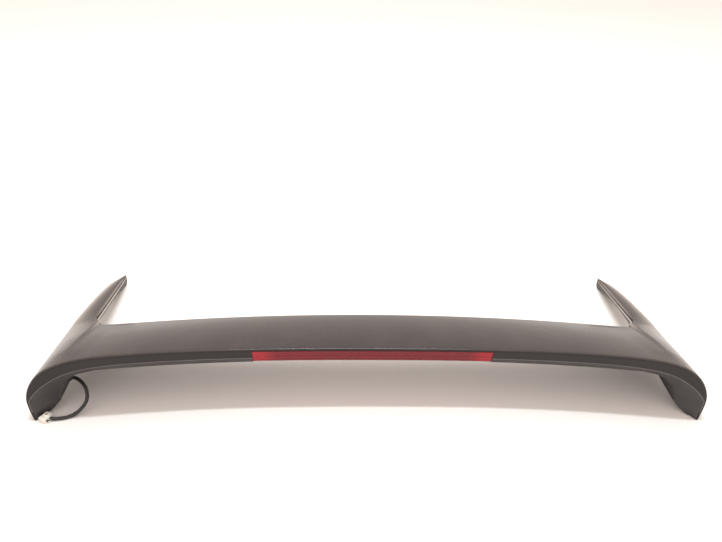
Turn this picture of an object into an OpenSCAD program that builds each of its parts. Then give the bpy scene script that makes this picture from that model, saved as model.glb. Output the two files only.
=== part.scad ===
// Rear deck spoiler: a wide hollow blade with a brake lamp in its trailing edge,
// an end fin that rolls down at each side, and a long pointed arm ahead of each fin.
// It lies on its two rear corners and its two arm tips, and the arms point along +Y.

/* [Overall] */
// Width over the two end fins
overall_w = 1200; // [1120:10:1280]
// Length from the rear corners to the arm tips
overall_len = 440; // [410:5:470]
// Height of the trailing edge above the resting plane
crest_h = 122; // [117:1:127]
// Height at which the fins are widest
wide_z = 38; // [32:1:44]
// How far the lower edge arches up between a rear corner and an arm tip
under_rise = 34; // [26:1:40]

/* [Blade] */
// How far the middle of the trailing edge sits ahead of the rear corners
edge_sweep = 42; // [30:1:55]
// Height of the rear band of the skin
band_h = 20; // [16:0.5:24]
// Rounding of the trailing edge
edge_r = 4; // [3.5:0.5:6]
// Distance from the middle of the trailing edge to the leading edge
chord = 142; // [136:1:160]
// Height of the leading edge at its middle
lead_h = 92; // [86:1:98]
// How far the leading edge drops to the arm roots
lead_drop = 30; // [22:1:36]
// Crown of the upper face
crown_h = 5; // [2:0.5:8]

/* [Arms] */
// Width of an arm at its root
arm_root_w = 64; // [56:1:72]
// Height of the upper face at an arm tip
arm_tip_h = 22; // [16:1:28]
// Width of an arm at its tip
arm_tip_w = 5; // [4:0.5:8]

/* [Walls] */
// Wall of the painted skin
skin_t = 3; // [2:0.25:3.5]
// Wall of the lower shell
shell_t = 2.5; // [2:0.25:3]
// Depth of the lip of the lower shell below the skin
lip_h = 14; // [10:0.5:17]
// Clearance between pieces that seat on each other
fit = 0.3; // [0.2:0.05:0.4]

/* [Lamp] */
// Width of the brake lamp
lamp_w = 424; // [360:4:480]
// Depth of the lamp housing
lamp_depth = 40; // [34:1:45]
// Wall of the lens
lens_t = 2.4; // [2:0.1:3]
// Number of light emitters
led_count = 16; // [8:1:24]

/* [Fixings] */
// Radius of a mounting stud
stud_r = 3; // [2.5:0.5:4]
// Free length of a mounting stud
stud_len = 20; // [14:1:24]
// Distance between the two studs under the blade
blade_stud_gap = 360; // [300:10:420]
// Distance of the studs under the fins from the side of the fin
fin_stud_in = 30; // [28:0.5:34]
// Radius of the stem of an arm clip
clip_r = 3.2; // [2.5:0.1:4]

/* [Lead] */
// Diameter of the lead
lead_d = 6.4; // [5:0.1:7]
// Length of the white connector
plug_len = 22; // [18:1:26]
// Width of the white connector
plug_w = 14; // [12:1:16]
// Height of the white connector
plug_h = 11; // [9:1:13]

/* [Hidden] */
$fn = 32;

half_w = overall_w / 2;
rear_y = -overall_len / 2;
tip_y = overall_len / 2;
corner_y = rear_y + 8;
crest_mid_y = corner_y + edge_sweep;
lead_y = crest_mid_y + chord;
root_y = lead_y + 14;
root_x = half_w - arm_root_w;
root_z = lead_h - lead_drop;
nose_l = 14;
nose_rise = 8;
contact_y = tip_y - nose_l;
contact_t = (contact_y - root_y) / (tip_y - root_y);
foot_in = 8;
foot_edge = 4;
lamp_x = lamp_w / 2;
wide_s = root_x + 90;
foot_s = wide_s + 60;

// Small helpers
function unit(v) = v / norm(v);
function mix(p, q, t) = p + (q - p) * t;
function flip(s, p) = s < 0 ? [-p.x, p.y, p.z] : p;

// Height of the lower edge of fins and arms along the length: an arch between the
// rear corners and the arms' points of contact, then the rise to the tip
function foot_z(y) = y < contact_y ? under_rise * (1 - pow(y / (y < 0 ? rear_y : contact_y), 2))
    : nose_rise * pow((y - contact_y) / nose_l, 1.5);

// Trailing edge: nearly level, then rolled down at the ends
function crest_y(x) = crest_mid_y - edge_sweep * pow(x / half_w, 2.5);
function crest_z(x) = wide_z + (crest_h - wide_z) * pow(max(0, 1 - pow(x / half_w, 14)), 0.6);
function wall_share(a) = max(0, (a - wide_s) / (foot_s - wide_s));
function crest_x(a) = a <= root_x ? a
    : root_x + (half_w - root_x) * sin(min(90, a - root_x)) - foot_in * pow(wall_share(a), 1.5);
function crest(a) =
    let (x = crest_x(a), w = wall_share(a))
    a <= wide_s ? [x, crest_y(x), crest_z(x)]
                : [x, mix(corner_y, rear_y, w), wide_z * (1 - w)];

// Leading edge, and the section of the arm root that carries it on outwards
front_wide_x = half_w - 6;
front_foot_x = half_w - 9;
corner_w = 13;
function lead_curve(x) = lead_y + (root_y - lead_y) * pow(max(0, (x - root_x + corner_w) / corner_w), 2);
function front(a) =
    let (f = min(90, a - root_x), w = wall_share(a), low = foot_z(root_y), mid = mix(low, root_z, 0.4))
    a <= root_x ? [a, lead_curve(a), lead_h - lead_drop * pow(a / root_x, 2)]
    : a <= wide_s ? [mix(root_x, front_wide_x, sin(f)), root_y, mix(mid, root_z, pow(cos(f), 0.9))]
    : [mix(front_wide_x, front_foot_x, w), root_y, mix(mid, low, w)];

// Rear band, measured down from the trailing edge and square to it: it deepens towards the fins
band_more = 4;
function band_w(a) = let (f = max(0, min(90, a - root_x) - 20), full = band_h + band_more * pow(min(1, a / root_x), 6))
    foot_edge + (full - foot_edge) * (a <= root_x ? 1 : cos(f * 90 / 70));
function into_band(a) =
    let (d = crest(min(foot_s, a + 0.5)) - crest(max(0, a - 0.5)))
    unit([d.z, 0.1 * norm(d), -d.x]);
function band_at(a, d) = crest(a) + into_band(a) * d;

// Upper face from the trailing edge (t 0) to the leading edge (t 1)
function top_at(a, t) =
    let (p = mix(crest(a), front(a), t), w = wall_share(a))
    [p.x, p.y, p.z + crown_h * 4 * t * (1 - t) * (a <= root_x ? 1 : cos(min(90, a - root_x)))
        + w * (foot_z(p.y) - foot_z(root_y) * t)];

// Arm from its root (t 0) to its tip (t 1)
function arm_y(t) = mix(root_y, tip_y, t);
function arm_in_x(t) = root_x + 10.5 * min(1, pow(t / 0.07, 0.55)) + 10 * t;
function arm_out_x(t) = let (taper = front_wide_x - 8 - (root_x + 20.5 + arm_tip_w))
    front_wide_x - 8 * t - taper * pow(t, 12);
function arm_in_z(t) = mix(root_z, arm_tip_h, t);
function arm_mid_z(t) = mix(foot_z(arm_y(t)), arm_in_z(t), 0.4);
function arm_foot_x(t) = arm_out_x(t) - 3 * (1 - 0.6 * t);
function arm_at(a, t) =
    let (f = min(90, a - root_x), w = wall_share(a))
    a <= wide_s ? [mix(arm_in_x(t), arm_out_x(t), sin(f)), arm_y(t),
                   mix(arm_mid_z(t), arm_in_z(t), pow(cos(f), 0.9))]
    : [mix(arm_out_x(t), arm_foot_x(t), w), arm_y(t), mix(arm_mid_z(t), foot_z(arm_y(t)), w)];

// Normals, from the neighbours of a point on one of the faces
function normal_of(du, dv) = unit(cross(du, dv));
function band_n(a) =
    let (lo = max(0, a - 0.5), hi = min(foot_s, a + 0.5))
    normal_of(crest(hi) - crest(lo), -into_band(a));
function top_n(a, t) =
    let (lo = max(0, a - 0.5), hi = min(foot_s, a + 0.5), t0 = max(0, t - 0.01), t1 = min(1, t + 0.01))
    normal_of(top_at(hi, t) - top_at(lo, t), top_at(a, t1) - top_at(a, t0));
function arm_n(a, t) =
    let (lo = max(root_x, a - 0.5), hi = min(foot_s, a + 0.5), t0 = max(0, t - 0.01), t1 = min(1, t + 0.01))
    normal_of(arm_at(hi, t) - arm_at(lo, t), arm_at(a, t1) - arm_at(a, t0));

// Closed shell between an upper and a lower sheet of the same grid.
// keep lists the grid cells that exist, and every open edge gets a wall.
module sheet_solid(upper, lower, keep) {
    cols = len(upper);
    rows = len(upper[0]);
    count = cols * rows;
    function at(i, j) = i * rows + j;
    function has(i, j) = i >= 0 && j >= 0 && i < cols - 1 && j < rows - 1 && keep[i][j];
    function wall(p, q) = [[p, q, p + count], [q, q + count, p + count]];
    points = concat([for (c = upper) for (p = c) p], [for (c = lower) for (p = c) p]);
    // The diagonals of the left half mirror those of the right half
    function pair(i, p, q, r, s) = i < (cols - 1) / 2 ? [[p, q, r], [p, r, s]] : [[p, q, s], [q, r, s]];
    function back(tri) = [tri[0], tri[2], tri[1]];
    faces = [
        for (i = [0 : cols - 2]) for (j = [0 : rows - 2]) if (has(i, j))
            let (p = at(i, j), q = at(i + 1, j), r = at(i + 1, j + 1), s = at(i, j + 1))
            each concat(
                [for (f = pair(i, p, q, r, s)) back(f)],
                pair(i, p + count, q + count, r + count, s + count),
                has(i, j - 1) ? [] : wall(p, q),
                has(i + 1, j) ? [] : wall(q, r),
                has(i, j + 1) ? [] : wall(r, s),
                has(i - 1, j) ? [] : wall(s, p))
    ];
    polyhedron(points, faces, convexity = 10);
}

// Solid swept through closed section loops that all have the same count of points.
// The loops may run either way round: their turn is compared with the way the sweep goes.
function total(v, k = 0) = k == len(v) - 1 ? v[k] : v[k] + total(v, k + 1);
function turn_of(loop) = total([for (k = [1 : len(loop) - 2]) cross(loop[k] - loop[0], loop[k + 1] - loop[0])]);
module loft(loops) {
    n = len(loops[0]);
    last = len(loops) - 1;
    ahead = turn_of(loops[0]) * (loops[1][0] - loops[0][0]) > 0;
    ordered = [for (l = loops) ahead ? l : [for (k = [n - 1 : -1 : 0]) l[k]]];
    faces = concat(
        [[for (k = [0 : n - 1]) k]],
        [for (i = [0 : last - 1]) for (k = [0 : n - 1])
            let (p = i * n + k, q = i * n + (k + 1) % n)
            each [[p, p + n, q], [q, p + n, q + n]]],
        [[for (k = [n - 1 : -1 : 0]) last * n + k]]);
    polyhedron([for (l = ordered) for (p = l) p], faces, convexity = 10);
}

// Grid columns of skin and lower shell, from the left foot to the right foot
half_cols = concat(
    [for (k = [0 : 5]) lamp_x * k / 6],
    [for (k = [0 : 7]) mix(lamp_x, root_x - corner_w, k / 8)],
    [root_x - corner_w, root_x - corner_w * 0.4],
    [for (k = [0 : 8]) root_x + 90 * k / 9],
    [wide_s, mix(wide_s, foot_s, 1 / 3), mix(wide_s, foot_s, 2 / 3), foot_s]);
cols_s = concat([for (k = [len(half_cols) - 1 : -1 : 1]) -half_cols[k]], half_cols);

// Skin
top_rows = [0.07, 0.15, 0.27, 0.41, 0.56, 0.71, 0.86, 1];
arm_rows = [0.02, 0.05, 0.1, 0.2, 0.33, 0.48, 0.62, 0.75, 0.85, 0.9, contact_t, 0.97, 1];
first_top = 5;
root_row = first_top + len(top_rows);
arm_t = concat([for (r = [0 : root_row]) 0], arm_rows);
function scaled_r(a) = edge_r * band_w(a) / band_h;
function inner_d(d) = max(d, skin_t * 1.05 + 0.2 * d);
function arm_wall(t) = min(skin_t, 0.3 * (arm_out_x(t) - arm_in_x(t)));

function skin_upper(a, j) =
    let (w = band_w(a), r = scaled_r(a))
    j == 0 ? band_at(a, w)
    : j == 1 ? band_at(a, (w + 1.15 * r) / 2)
    : j == 2 ? band_at(a, 1.15 * r)
    : j == 3 ? band_at(a, r)
    : j == 4 ? crest(a) - 0.293 * r * (band_n(a) + top_n(a, 0))
    : j == 5 ? top_at(a, r / chord)
    : j <= root_row ? top_at(a, top_rows[j - first_top - 1])
    : arm_at(max(a, root_x), arm_rows[j - root_row - 1]);

function skin_lower(a, j) =
    let (w = band_w(a), r = scaled_r(a), n1 = band_n(a), n2 = top_n(a, 0))
    j == 0 ? band_at(a, w) - skin_t * n1
    : j == 1 ? band_at(a, inner_d((w + 1.15 * r) / 2)) - skin_t * n1
    : j == 2 ? band_at(a, inner_d(1.15 * r)) - skin_t * n1
    : j == 3 ? band_at(a, inner_d(r)) - skin_t * n1
    : j == 4 ? crest(a) - skin_t * (n1 + n2) / (1 + n1 * n2)
    : j == 5 ? top_at(a, inner_d(r) / chord) - skin_t * top_n(a, inner_d(r) / chord)
    : j < root_row ? top_at(a, top_rows[j - first_top - 1]) - skin_t * top_n(a, top_rows[j - first_top - 1])
    : j == root_row ? top_at(a, 1) - skin_t * (a < root_x ? top_n(a, 1) : unit(top_n(a, 1) + arm_n(a, 0)))
    : let (t = arm_rows[j - root_row - 1], b = max(a, root_x)) arm_at(b, t) - arm_wall(t) * arm_n(b, t);

function skin_keeps(i, j) =
    let (a = abs(cols_s[i] + cols_s[i + 1]) / 2)
    (a > lamp_x || j >= 2) && (a > root_x || j < root_row);

boss_r = 4.2;
boss_gap = 0.65;
screw_r = 1.6;
boss_places = [[60, 0.62], [300, 0.66], [430, 0.36]];

function under_t(x, y) = (y - lip(x).y) / (shell_front(x).y - lip(x).y);
function blade_point(x, t) = top_at(x, t);
function shell_z(x, y) = under_at(x, under_t(x, y)).z;

module at_bosses() {
    for (side = [-1, 1]) for (b = boss_places)
        let (p = blade_point(b[0], b[1]))
        translate([side * p.x, p.y, shell_z(p.x, p.y)]) {
            $boss_h = p.z - shell_z(p.x, p.y);
            children();
        }
}

module outer_skin() {
    rows = root_row + len(arm_rows) + 1;
    upper = [for (s = cols_s) [for (j = [0 : rows - 1]) flip(s, skin_upper(abs(s), j))]];
    lower = [for (s = cols_s) [for (j = [0 : rows - 1]) flip(s, skin_lower(abs(s), j))]];
    keep = [for (i = [0 : len(cols_s) - 2]) [for (j = [0 : rows - 2]) skin_keeps(i, j)]];
    color([0.42, 0.40, 0.39])
    difference() {
        union() {
            sheet_solid(upper, lower, keep);
            at_bosses() translate([0, 0, shell_t + boss_gap]) cylinder(r = boss_r, h = $boss_h - shell_t - 2);
        }
        at_bosses() cylinder(r = screw_r, h = 15);
    }
}

// Lower shell
lip_x = half_w - 120;
fin_in_r = 74;
fin_low_z = 20;
lip_fwd = 10;
toe_x = half_w - foot_in - foot_edge - 2;
front_low_z = foot_z(root_y) + 2;
shell_drop = skin_t + shell_t + 0.5;
seat = 0.2;

function lip_z(x) = crest_h - band_h - lip_h - 3 * pow(x / lip_x, 2);
function lip(a) =
    let (f = min(90, 90 * (a - lip_x) / (wide_s - lip_x)), w = wall_share(a), x = lip_x + fin_in_r * sin(f),
         edge_y = crest_y(x) + lip_fwd + 4 * sin(f))
    a <= lip_x ? [a, crest_y(a) + lip_fwd, lip_z(a)]
    : a <= wide_s ? [x, edge_y, mix(fin_low_z, lip_z(lip_x), cos(f))]
    : [mix(x, toe_x, w), mix(edge_y, rear_y + 8, pow(w, 0.8)), fin_low_z * pow(1 - w, 1.8)];

function shell_front(a) =
    let (f = min(90, a - root_x), w = wall_share(a))
    a <= root_x ? front(a) - [0, 0, shell_drop]
    : a <= wide_s ? [root_x + 13 * sin(f), root_y, mix(front_low_z, root_z - shell_drop, cos(f))]
    : [mix(root_x + 13, front_foot_x - skin_t - fit, w), root_y, mix(front_low_z, foot_z(root_y), w)];

function under_at(a, t) =
    let (p = mix(lip(a), shell_front(a), t), w = wall_share(a))
    [p.x, p.y, p.z + 6 * t * (1 - t) * (a <= lip_x ? 1 : 0) + w * (foot_z(p.y) - foot_z(root_y) * t)];
function end_at(a, t) = mix(band_at(a, band_w(a) + seat * (1 + 2 * wall_share(a))), lip(a), t);

function end_n(a, t) =
    let (lo = max(0, a - 2), hi = min(foot_s, a + 2))
    normal_of(end_at(hi, t) - end_at(lo, t), lip(a) - band_at(a, band_w(a)));
function under_n(a, t) =
    let (lo = max(0, a - 2), hi = min(foot_s, a + 2), t0 = max(0, t - 0.02), t1 = min(1, t + 0.02))
    normal_of(under_at(hi, t) - under_at(lo, t), under_at(a, t1) - under_at(a, t0));

lamp_back_t = (lamp_depth - lip_fwd + 3) / (chord - lip_fwd);
under_rows = [0.06, 0.14, lamp_back_t, 0.4, 0.55, 0.7, 0.85, 1];
end_rows = [0, 0.4, 0.75];
lip_row = len(end_rows);

function shell_lower(a, j) = j < lip_row ? end_at(a, end_rows[j])
    : j == lip_row ? lip(a) : under_at(a, under_rows[j - lip_row - 1]);
function shell_upper(a, j) =
    let (n1 = end_n(a, 1), n2 = under_n(a, 0))
    j == 0 ? end_at(a, 0) - shell_t * band_n(a)
    : j < lip_row ? end_at(a, end_rows[j]) + shell_t * end_n(a, end_rows[j])
    : j == lip_row ? lip(a) + shell_t * (n1 + n2) / (1 + n1 * n2)
    : let (t = under_rows[j - lip_row - 1]) under_at(a, t) + shell_t * under_n(a, t);
function shell_keeps(i, j) =
    let (a = abs(cols_s[i] + cols_s[i + 1]) / 2)
    a > lamp_x || j >= lip_row + 3;

seat_in = 0.5;
module screw_seat() {
    translate([0, 0, -5]) cylinder(r = screw_r + 0.6, h = 15);
    translate([0, 0, -2]) cylinder(r = 5, h = 2 + seat_in);
}

module lower_shell() {
    rows = lip_row + 1 + len(under_rows);
    upper = [for (s = cols_s) [for (j = [0 : rows - 1]) flip(s, shell_upper(abs(s), j))]];
    lower = [for (s = cols_s) [for (j = [0 : rows - 1]) flip(s, shell_lower(abs(s), j))]];
    keep = [for (i = [0 : len(cols_s) - 2]) [for (j = [0 : rows - 2]) shell_keeps(i, j)]];
    color([0.16, 0.16, 0.17])
    difference() {
        sheet_solid(upper, lower, keep);
        at_bosses() screw_seat();
        at_lamp_lugs() screw_seat();
        at_studs() translate([0, 0, -8]) cylinder(r = stud_r + 0.5, h = 20);
        translate(exit_at) rotate([0, 90, 0]) cylinder(r = bush_r + fit, h = 24, center = true);
    }
}

// Places on the lower shell that carry other pieces
function blade_under(x, t) = under_at(x, t);
function flange_under(w, y) =
    let (a = mix(wide_s, foot_s, w))
    under_at(a, (y - lip(a).y) / (shell_front(a).y - lip(a).y));
function flange_a(w) = mix(wide_s, foot_s, w);
function flange_w(x) = (x - lip_x - fin_in_r) / (toe_x - lip_x - fin_in_r);

module square_to(n) {
    rotate([-asin(n.y), atan2(n.x, n.z), 0]) children();
}

stud_y = rear_y + 180;
blade_stud_t = 0.66;
fin_stud_w = flange_w(half_w - fin_stud_in);

// Studs: two under the blade and two under the fins, each with the slope of its seat
module at_studs() {
    fin_a = flange_a(fin_stud_w);
    fin_p = flange_under(fin_stud_w, stud_y);
    fin_t = (stud_y - lip(fin_a).y) / (shell_front(fin_a).y - lip(fin_a).y);
    places = [[blade_under(blade_stud_gap / 2, blade_stud_t), under_n(blade_stud_gap / 2, blade_stud_t)],
              [fin_p, under_n(fin_a, fin_t)]];
    for (side = [0, 1]) mirror([side, 0, 0]) for (k = places) translate(k[0]) {
        $seat_n = k[1];
        children();
    }
}

shoulder_h = 4.6;
module mounting_studs() {
    color([0.72, 0.73, 0.74])
    at_studs() union() {
        square_to($seat_n) translate([-11, -14, shell_t + fit + 0.25]) cube([22, 28, 2]);
        translate([0, 0, -stud_len]) cylinder(r = stud_r, h = stud_len);
        translate([0, 0, -shoulder_h]) cylinder(r = stud_r + 0.4, h = shoulder_h + shell_t + 1);
    }
}

module stud_seals() {
    color([0.10, 0.10, 0.10])
    at_studs() square_to($seat_n) translate([0, 0, -3 - fit]) difference() {
        cylinder(r = 10, h = 3);
        translate([0, 0, -1]) cylinder(r = stud_r + 0.8, h = 5);
    }
}

module screw(head_r, shank_r, shank_h) {
    under_head = seat_in - fit / 2;
    translate([0, 0, under_head - 2.4]) cylinder(r1 = head_r * 0.8, r2 = head_r, h = 1);
    translate([0, 0, under_head - 1.4]) cylinder(r = head_r, h = 1.4);
    translate([0, 0, under_head - 1]) cylinder(r = shank_r, h = shank_h + 1 - under_head);
}

module shell_screws() {
    color([0.25, 0.25, 0.26]) at_bosses() screw(4.2, screw_r - 0.1, 13);
}

// Arm bases: channels under the arms, filled in at the nose. Along the glass side a groove
// parts the edge of the skin from a proud ledge
base_wall = 2.2;
fill_t = 0.88;
nose_t = 0.985;
base_t = [0.004, 0.025, 0.06, 0.12, 0.22, 0.33, 0.44, 0.55, 0.66, 0.76, 0.84, fill_t, 0.91, contact_t, 0.965, nose_t];
ledge_w = 3.6;
groove_w = 1.5;
groove_h = 2.8;
function base_low(t) = foot_z(arm_y(t));
function base_out_x(t) = arm_foot_x(t) - arm_wall(t) - fit - 0.5 - pow(t, 6);
function base_loop(t) =
    let (xi = arm_in_x(t), zi = arm_in_z(t) - skin_t - fit, xb = base_out_x(t), zb = base_low(t), y = arm_y(t),
         k = min(1, (xb - xi) / 40), h = min(9 * k, 0.3 * (arm_in_z(t) - zb)), w = min(base_wall, 0.16 * (xb - xi)),
         xg = xi - groove_w * k, xe = xg - ledge_w * k, fill = max(0, (t - fill_t) / (nose_t - fill_t)),
         solid = function (x, z, across, up) [mix(x, mix(xi, xb, across), fill), mix(z, mix(zb, zi, up), fill)])
    [for (p = [[xi + 0.4, zi], [xi + 0.2 * k, zi - groove_h * k], [xg, zi - groove_h * k], [xg, zi - 0.5 * k],
               [xe, zi - 1.4 * k], [xe, zi - 4.6 * k], [xi - 0.8 * k, zi - 6.5 * k],
               [xi + 4.5 * k, zb + k], [xb, zb], [xb, zb + h],
               solid(xb - w, zb + h, 0.45, 0.8), solid(xb - w, zb + w, 0.44, 0.78),
               solid(xi + 4.5 * k + w, zb + k + w, 0.4, 0.78), solid(xi + 0.5 * k + w, zi - 5 * k, 0.38, 0.81),
               [xi + 9 * k, zi - 3 * k], [xi + 9 * k, zi - 0.8 * k]])
        [p[0], y, p[1]]];

clip_t = [0.28, 0.6];
function base_mid_x(t) = let (xi = arm_in_x(t), xb = arm_foot_x(t) - arm_wall(t) - fit) (xi + 4.5 + xb) / 2;
module at_clips() {
    for (t = clip_t)
        translate([base_mid_x(t), arm_y(t), base_low(t) + 0.5])
        rotate([atan(-2 * under_rise * arm_y(t) / pow(contact_y, 2)), 0, 0])
        children();
}

module arm_base() {
    difference() {
        loft([for (t = base_t) base_loop(t)]);
        at_clips() translate([0, 0, -4]) cylinder(r = clip_r + fit, h = 10);
    }
}

module arm_base_right() {
    color([0.18, 0.18, 0.19]) arm_base();
}

module arm_base_left() {
    color([0.18, 0.18, 0.19]) mirror([1, 0, 0]) arm_base();
}

module both_sides() {
    children();
    mirror([1, 0, 0]) children();
}

module arm_clips() {
    color([0.93, 0.92, 0.88])
    both_sides() at_clips() rotate_extrude()
        polygon([[0, base_wall + 2.2], [6, base_wall + 2.2], [6, base_wall + 0.5], [clip_r, base_wall + 0.5],
                 [clip_r, -3.4], [5, -4.4], [clip_r - 0.6, -7], [4.6, -7.8], [2.2, -12.5], [0, -13]]);
}

module clip_seals() {
    color([0.12, 0.12, 0.12])
    both_sides() at_clips() translate([0, 0, -3.1]) difference() {
        cylinder(r = 7.5, h = 2.4);
        translate([0, 0, -1]) cylinder(r = clip_r + fit, h = 5);
    }
}

// Double-sided foam tape under the arms
tape_spans = [[0.04, 0.12, 0.2], [0.36, 0.44, 0.52], [0.68, 0.76, 0.84, 0.89]];
function tape_loop(t) =
    let (x = base_mid_x(t), y = arm_y(t), z = base_low(t) - 0.1, w = 5)
    [[x - w, y, z], [x + w, y, z], [x + w, y, z - 1.2], [x - w, y, z - 1.2]];
module arm_tape() {
    color([0.30, 0.30, 0.32]) both_sides() for (span = tape_spans) loft([for (t = span) tape_loop(t)]);
}

// Rubber lip along the leading edge, against the rear glass
function seal_loop(s) =
    let (p = flip(s, shell_front(abs(s))), z = p.z - 0.25)
    [[p.x, p.y - 9, z - 0.1], [p.x, p.y - 9, z - 3], [p.x, p.y - 3, z - 3.6], [p.x, p.y + 0.5, z - 6],
     [p.x, p.y + 1.8, z - 5.6], [p.x, p.y + 0.5, z - 2.5], [p.x, p.y - 0.5, z]];
module glass_seal() {
    color([0.08, 0.08, 0.08]) loft([for (k = [-16 : 16]) seal_loop(k / 16 * (root_x - corner_w))]);
}

// Brake lamp: its sections are set back from, and measured down from, the trailing edge
lamp_end = lamp_x - fit;
lamp_steps = 10;
// A third number marks a drop that is measured from the underside of the skin instead
function under_skin(x, d) = crest_z(x) - top_at(x, d / (front(x).y - crest_y(x))).z + skin_t;
function drop_of(x, p) = p[1] + (len(p) > 2 ? under_skin(x, p[0]) : 0);
function lamp_loop(x, profile) =
    [for (p = profile) [x, crest_y(abs(x)) + p[0], crest_z(abs(x)) - drop_of(abs(x), p)]];
module lamp_loft(profile, end) {
    loft([for (k = [-lamp_steps : lamp_steps]) lamp_loop(end * k / lamp_steps, profile)]);
}
lens_top = 1.15 * edge_r + fit;
lens_low = band_h + lip_h + 0.6;
lens_outer = [[0.5, lens_top], [1.5, 12], [3.3, 20], [6, 27.5], [9, lens_low - 2.2], [12.5, lens_low - 0.4], [18, lens_low]];
lens_inner = [[18, lens_low - lens_t], [13.2, lens_low - lens_t - 0.5], [10.6, lens_low - lens_t - 2],
              [8.3, 26.4], [3.3 + lens_t, 19.3], [1.5 + lens_t, 11.6], [0.5 + lens_t, lens_top]];

module lamp_lens() {
    color([0.75, 0.10, 0.13]) lamp_loft(concat(lens_outer, lens_inner), lamp_end);
}

housing_t = 2;
roof_gap = 2.4;
module lamp_housing() {
    back = lamp_depth;
    roof = roof_gap + housing_t;
    profile = [[6.2, 5.9], [12, roof_gap, 1], [back, roof_gap, 1], [back, lens_low - 0.6], [18 + fit, lens_low],
               [18 + fit, lens_low - housing_t], [back - housing_t, lens_low - 0.6 - housing_t],
               [back - housing_t, roof, 1], [12, roof, 1], [6.2, 5.9 + housing_t]];
    color([0.13, 0.13, 0.14])
    difference() {
        union() {
            lamp_loft(profile, lamp_end - 0.4);
            at_lamp_lugs() translate([-7, -lug_back - 1.2, shell_t + fit]) cube([14, lug_back + 6, 3]);
        }
        at_lamp_lugs() cylinder(r = screw_r, h = 15);
    }
}

lug_x = 150;
lug_back = 8;
module at_lamp_lugs() {
    for (side = [-1, 1]) {
        y = crest_y(lug_x) + lamp_depth + lug_back;
        translate([side * lug_x, y, shell_z(lug_x, y)]) children();
    }
}

module lamp_screws() {
    color([0.25, 0.25, 0.26]) at_lamp_lugs() screw(4, screw_r - 0.1, 8);
}

module lamp_reflector() {
    back = lamp_depth - 10;
    wall = 1.4;
    top = roof_gap + housing_t + 3;
    tray = [[8, 9.4], [back, top, 1], [back, lens_low - 4.1], [19, lens_low - 3]];
    hollow = [[4, 10.15], [back - wall, top + wall, 1], [back - wall, lens_low - 4 - wall], [14, lens_low - 4.05]];
    color([0.85, 0.84, 0.82])
    difference() {
        lamp_loft(tray, lamp_end - 6);
        lamp_loft(hollow, lamp_end - 7.5);
    }
}

board_t = 1.5;
module led_board() {
    front = lamp_depth - 13.2;
    low = lens_low - 6.2;
    top = roof_gap + housing_t + 5.6;
    color([0.10, 0.35, 0.18])
    lamp_loft([[front, top, 1], [front + board_t, top, 1], [front + board_t, low], [front, low]], lamp_end - 10);
}

module leds() {
    color([0.95, 0.93, 0.80])
    for (k = [0 : led_count - 1]) {
        x = (lamp_end - 24) * (2 * k / (led_count - 1) - 1);
        translate([x - 2.5, crest_y(abs(x)) + lamp_depth - 15.7, crest_h - lens_low / 2 - 7.2]) cube([5, 2.2, 5]);
    }
}

gasket_d = [12, 22];
module lamp_gasket() {
    color([0.10, 0.10, 0.10])
    lamp_loft([[gasket_d[0], fit, 1], [gasket_d[1], fit, 1],
               [gasket_d[1], roof_gap - fit, 1], [gasket_d[0], roof_gap - fit, 1]], lamp_end - 4);
}

// Where the lead comes out of the inner wall of the left fin, and the bush there
left_corner = [-half_w, rear_y, 0];
exit_at = left_corner + [51.4, 62, 44.3];
bush_r = 5.2;

// Plug on the back of the lamp, and the harness that runs inside the blade to the left fin
plug_x = 60;
plug_l = 12;
plug_top = 11;
plug_at = [-plug_x, crest_y(plug_x) + lamp_depth + fit,
           crest_z(plug_x) - under_skin(plug_x, lamp_depth + plug_l) - plug_top - 2.5];
module lamp_plug() {
    color([0.90, 0.90, 0.86])
    translate(plug_at) union() {
        translate([-8, 0, 0]) cube([16, plug_l, plug_top - 1]);
        translate([-3, 2, plug_top - 2]) cube([6, plug_l - 4, 2]);
    }
}

inner_r = 2.5;
over_shell = 4.6;
inner_steps = 10;
inner_x = [for (k = [0 : inner_steps]) mix(90, lip_x - 10, k / inner_steps)];
function inner_y(x) = crest_y(x) + 56 + 0.055 * x;
function inner_at(x) = [-x, inner_y(x), shell_z(x, inner_y(x)) + shell_t + over_shell];
// From the blade round into the fin, measured from the left rear corner
inner_bend = [[100, 97, 87], [72, 88, 83], [50, 78, 74], [34, 69, 61], [28, 63, 51], [34, 62, 45]];
inner_route = concat(
    [[-68.2, plug_at.y + 6, plug_at.z + 5], [-72, plug_at.y + 6, plug_at.z + 5], [-78, plug_at.y + 7, plug_at.z + 4.5]],
    [for (x = inner_x) inner_at(x)],
    [for (p = inner_bend) left_corner + p],
    [exit_at + [-10, 0, 0], exit_at + [8, 0, 0]]);

function ring_at(route, k, r, sides) =
    let (last = len(route) - 1, d = unit(route[min(last, k + 1)] - route[max(0, k - 1)]),
         u = unit(cross(d, abs(d.z) > 0.9 ? [1, 0, 0] : [0, 0, 1])), v = cross(d, u))
    [for (m = [0 : sides - 1]) route[k] + r * (u * cos(360 * m / sides) + v * sin(360 * m / sides))];
module tube(route, r, sides) {
    loft([for (k = [0 : len(route) - 1]) ring_at(route, k, r, sides)]);
}
module inner_harness() {
    color([0.07, 0.07, 0.07]) tube(inner_route, inner_r, 8);
}

module harness_clips() {
    color([0.15, 0.15, 0.15])
    for (k = [2, 5, 7]) {
        x = inner_x[k];
        slope = shell_z(x, inner_y(x) + 1) - shell_z(x, inner_y(x));
        translate(inner_at(x) - [0, 0, over_shell]) rotate([atan(slope), 0, 0]) difference() {
            union() {
                translate([-3, -7, fit]) cube([6, 14, 1.6]);
                translate([-3, 0, over_shell]) rotate([0, 90, 0]) cylinder(r = 4.2, h = 6);
            }
            translate([-4, 0, over_shell]) rotate([0, 90, 0]) cylinder(r = inner_r + 0.6, h = 8);
        }
    }
}

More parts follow.
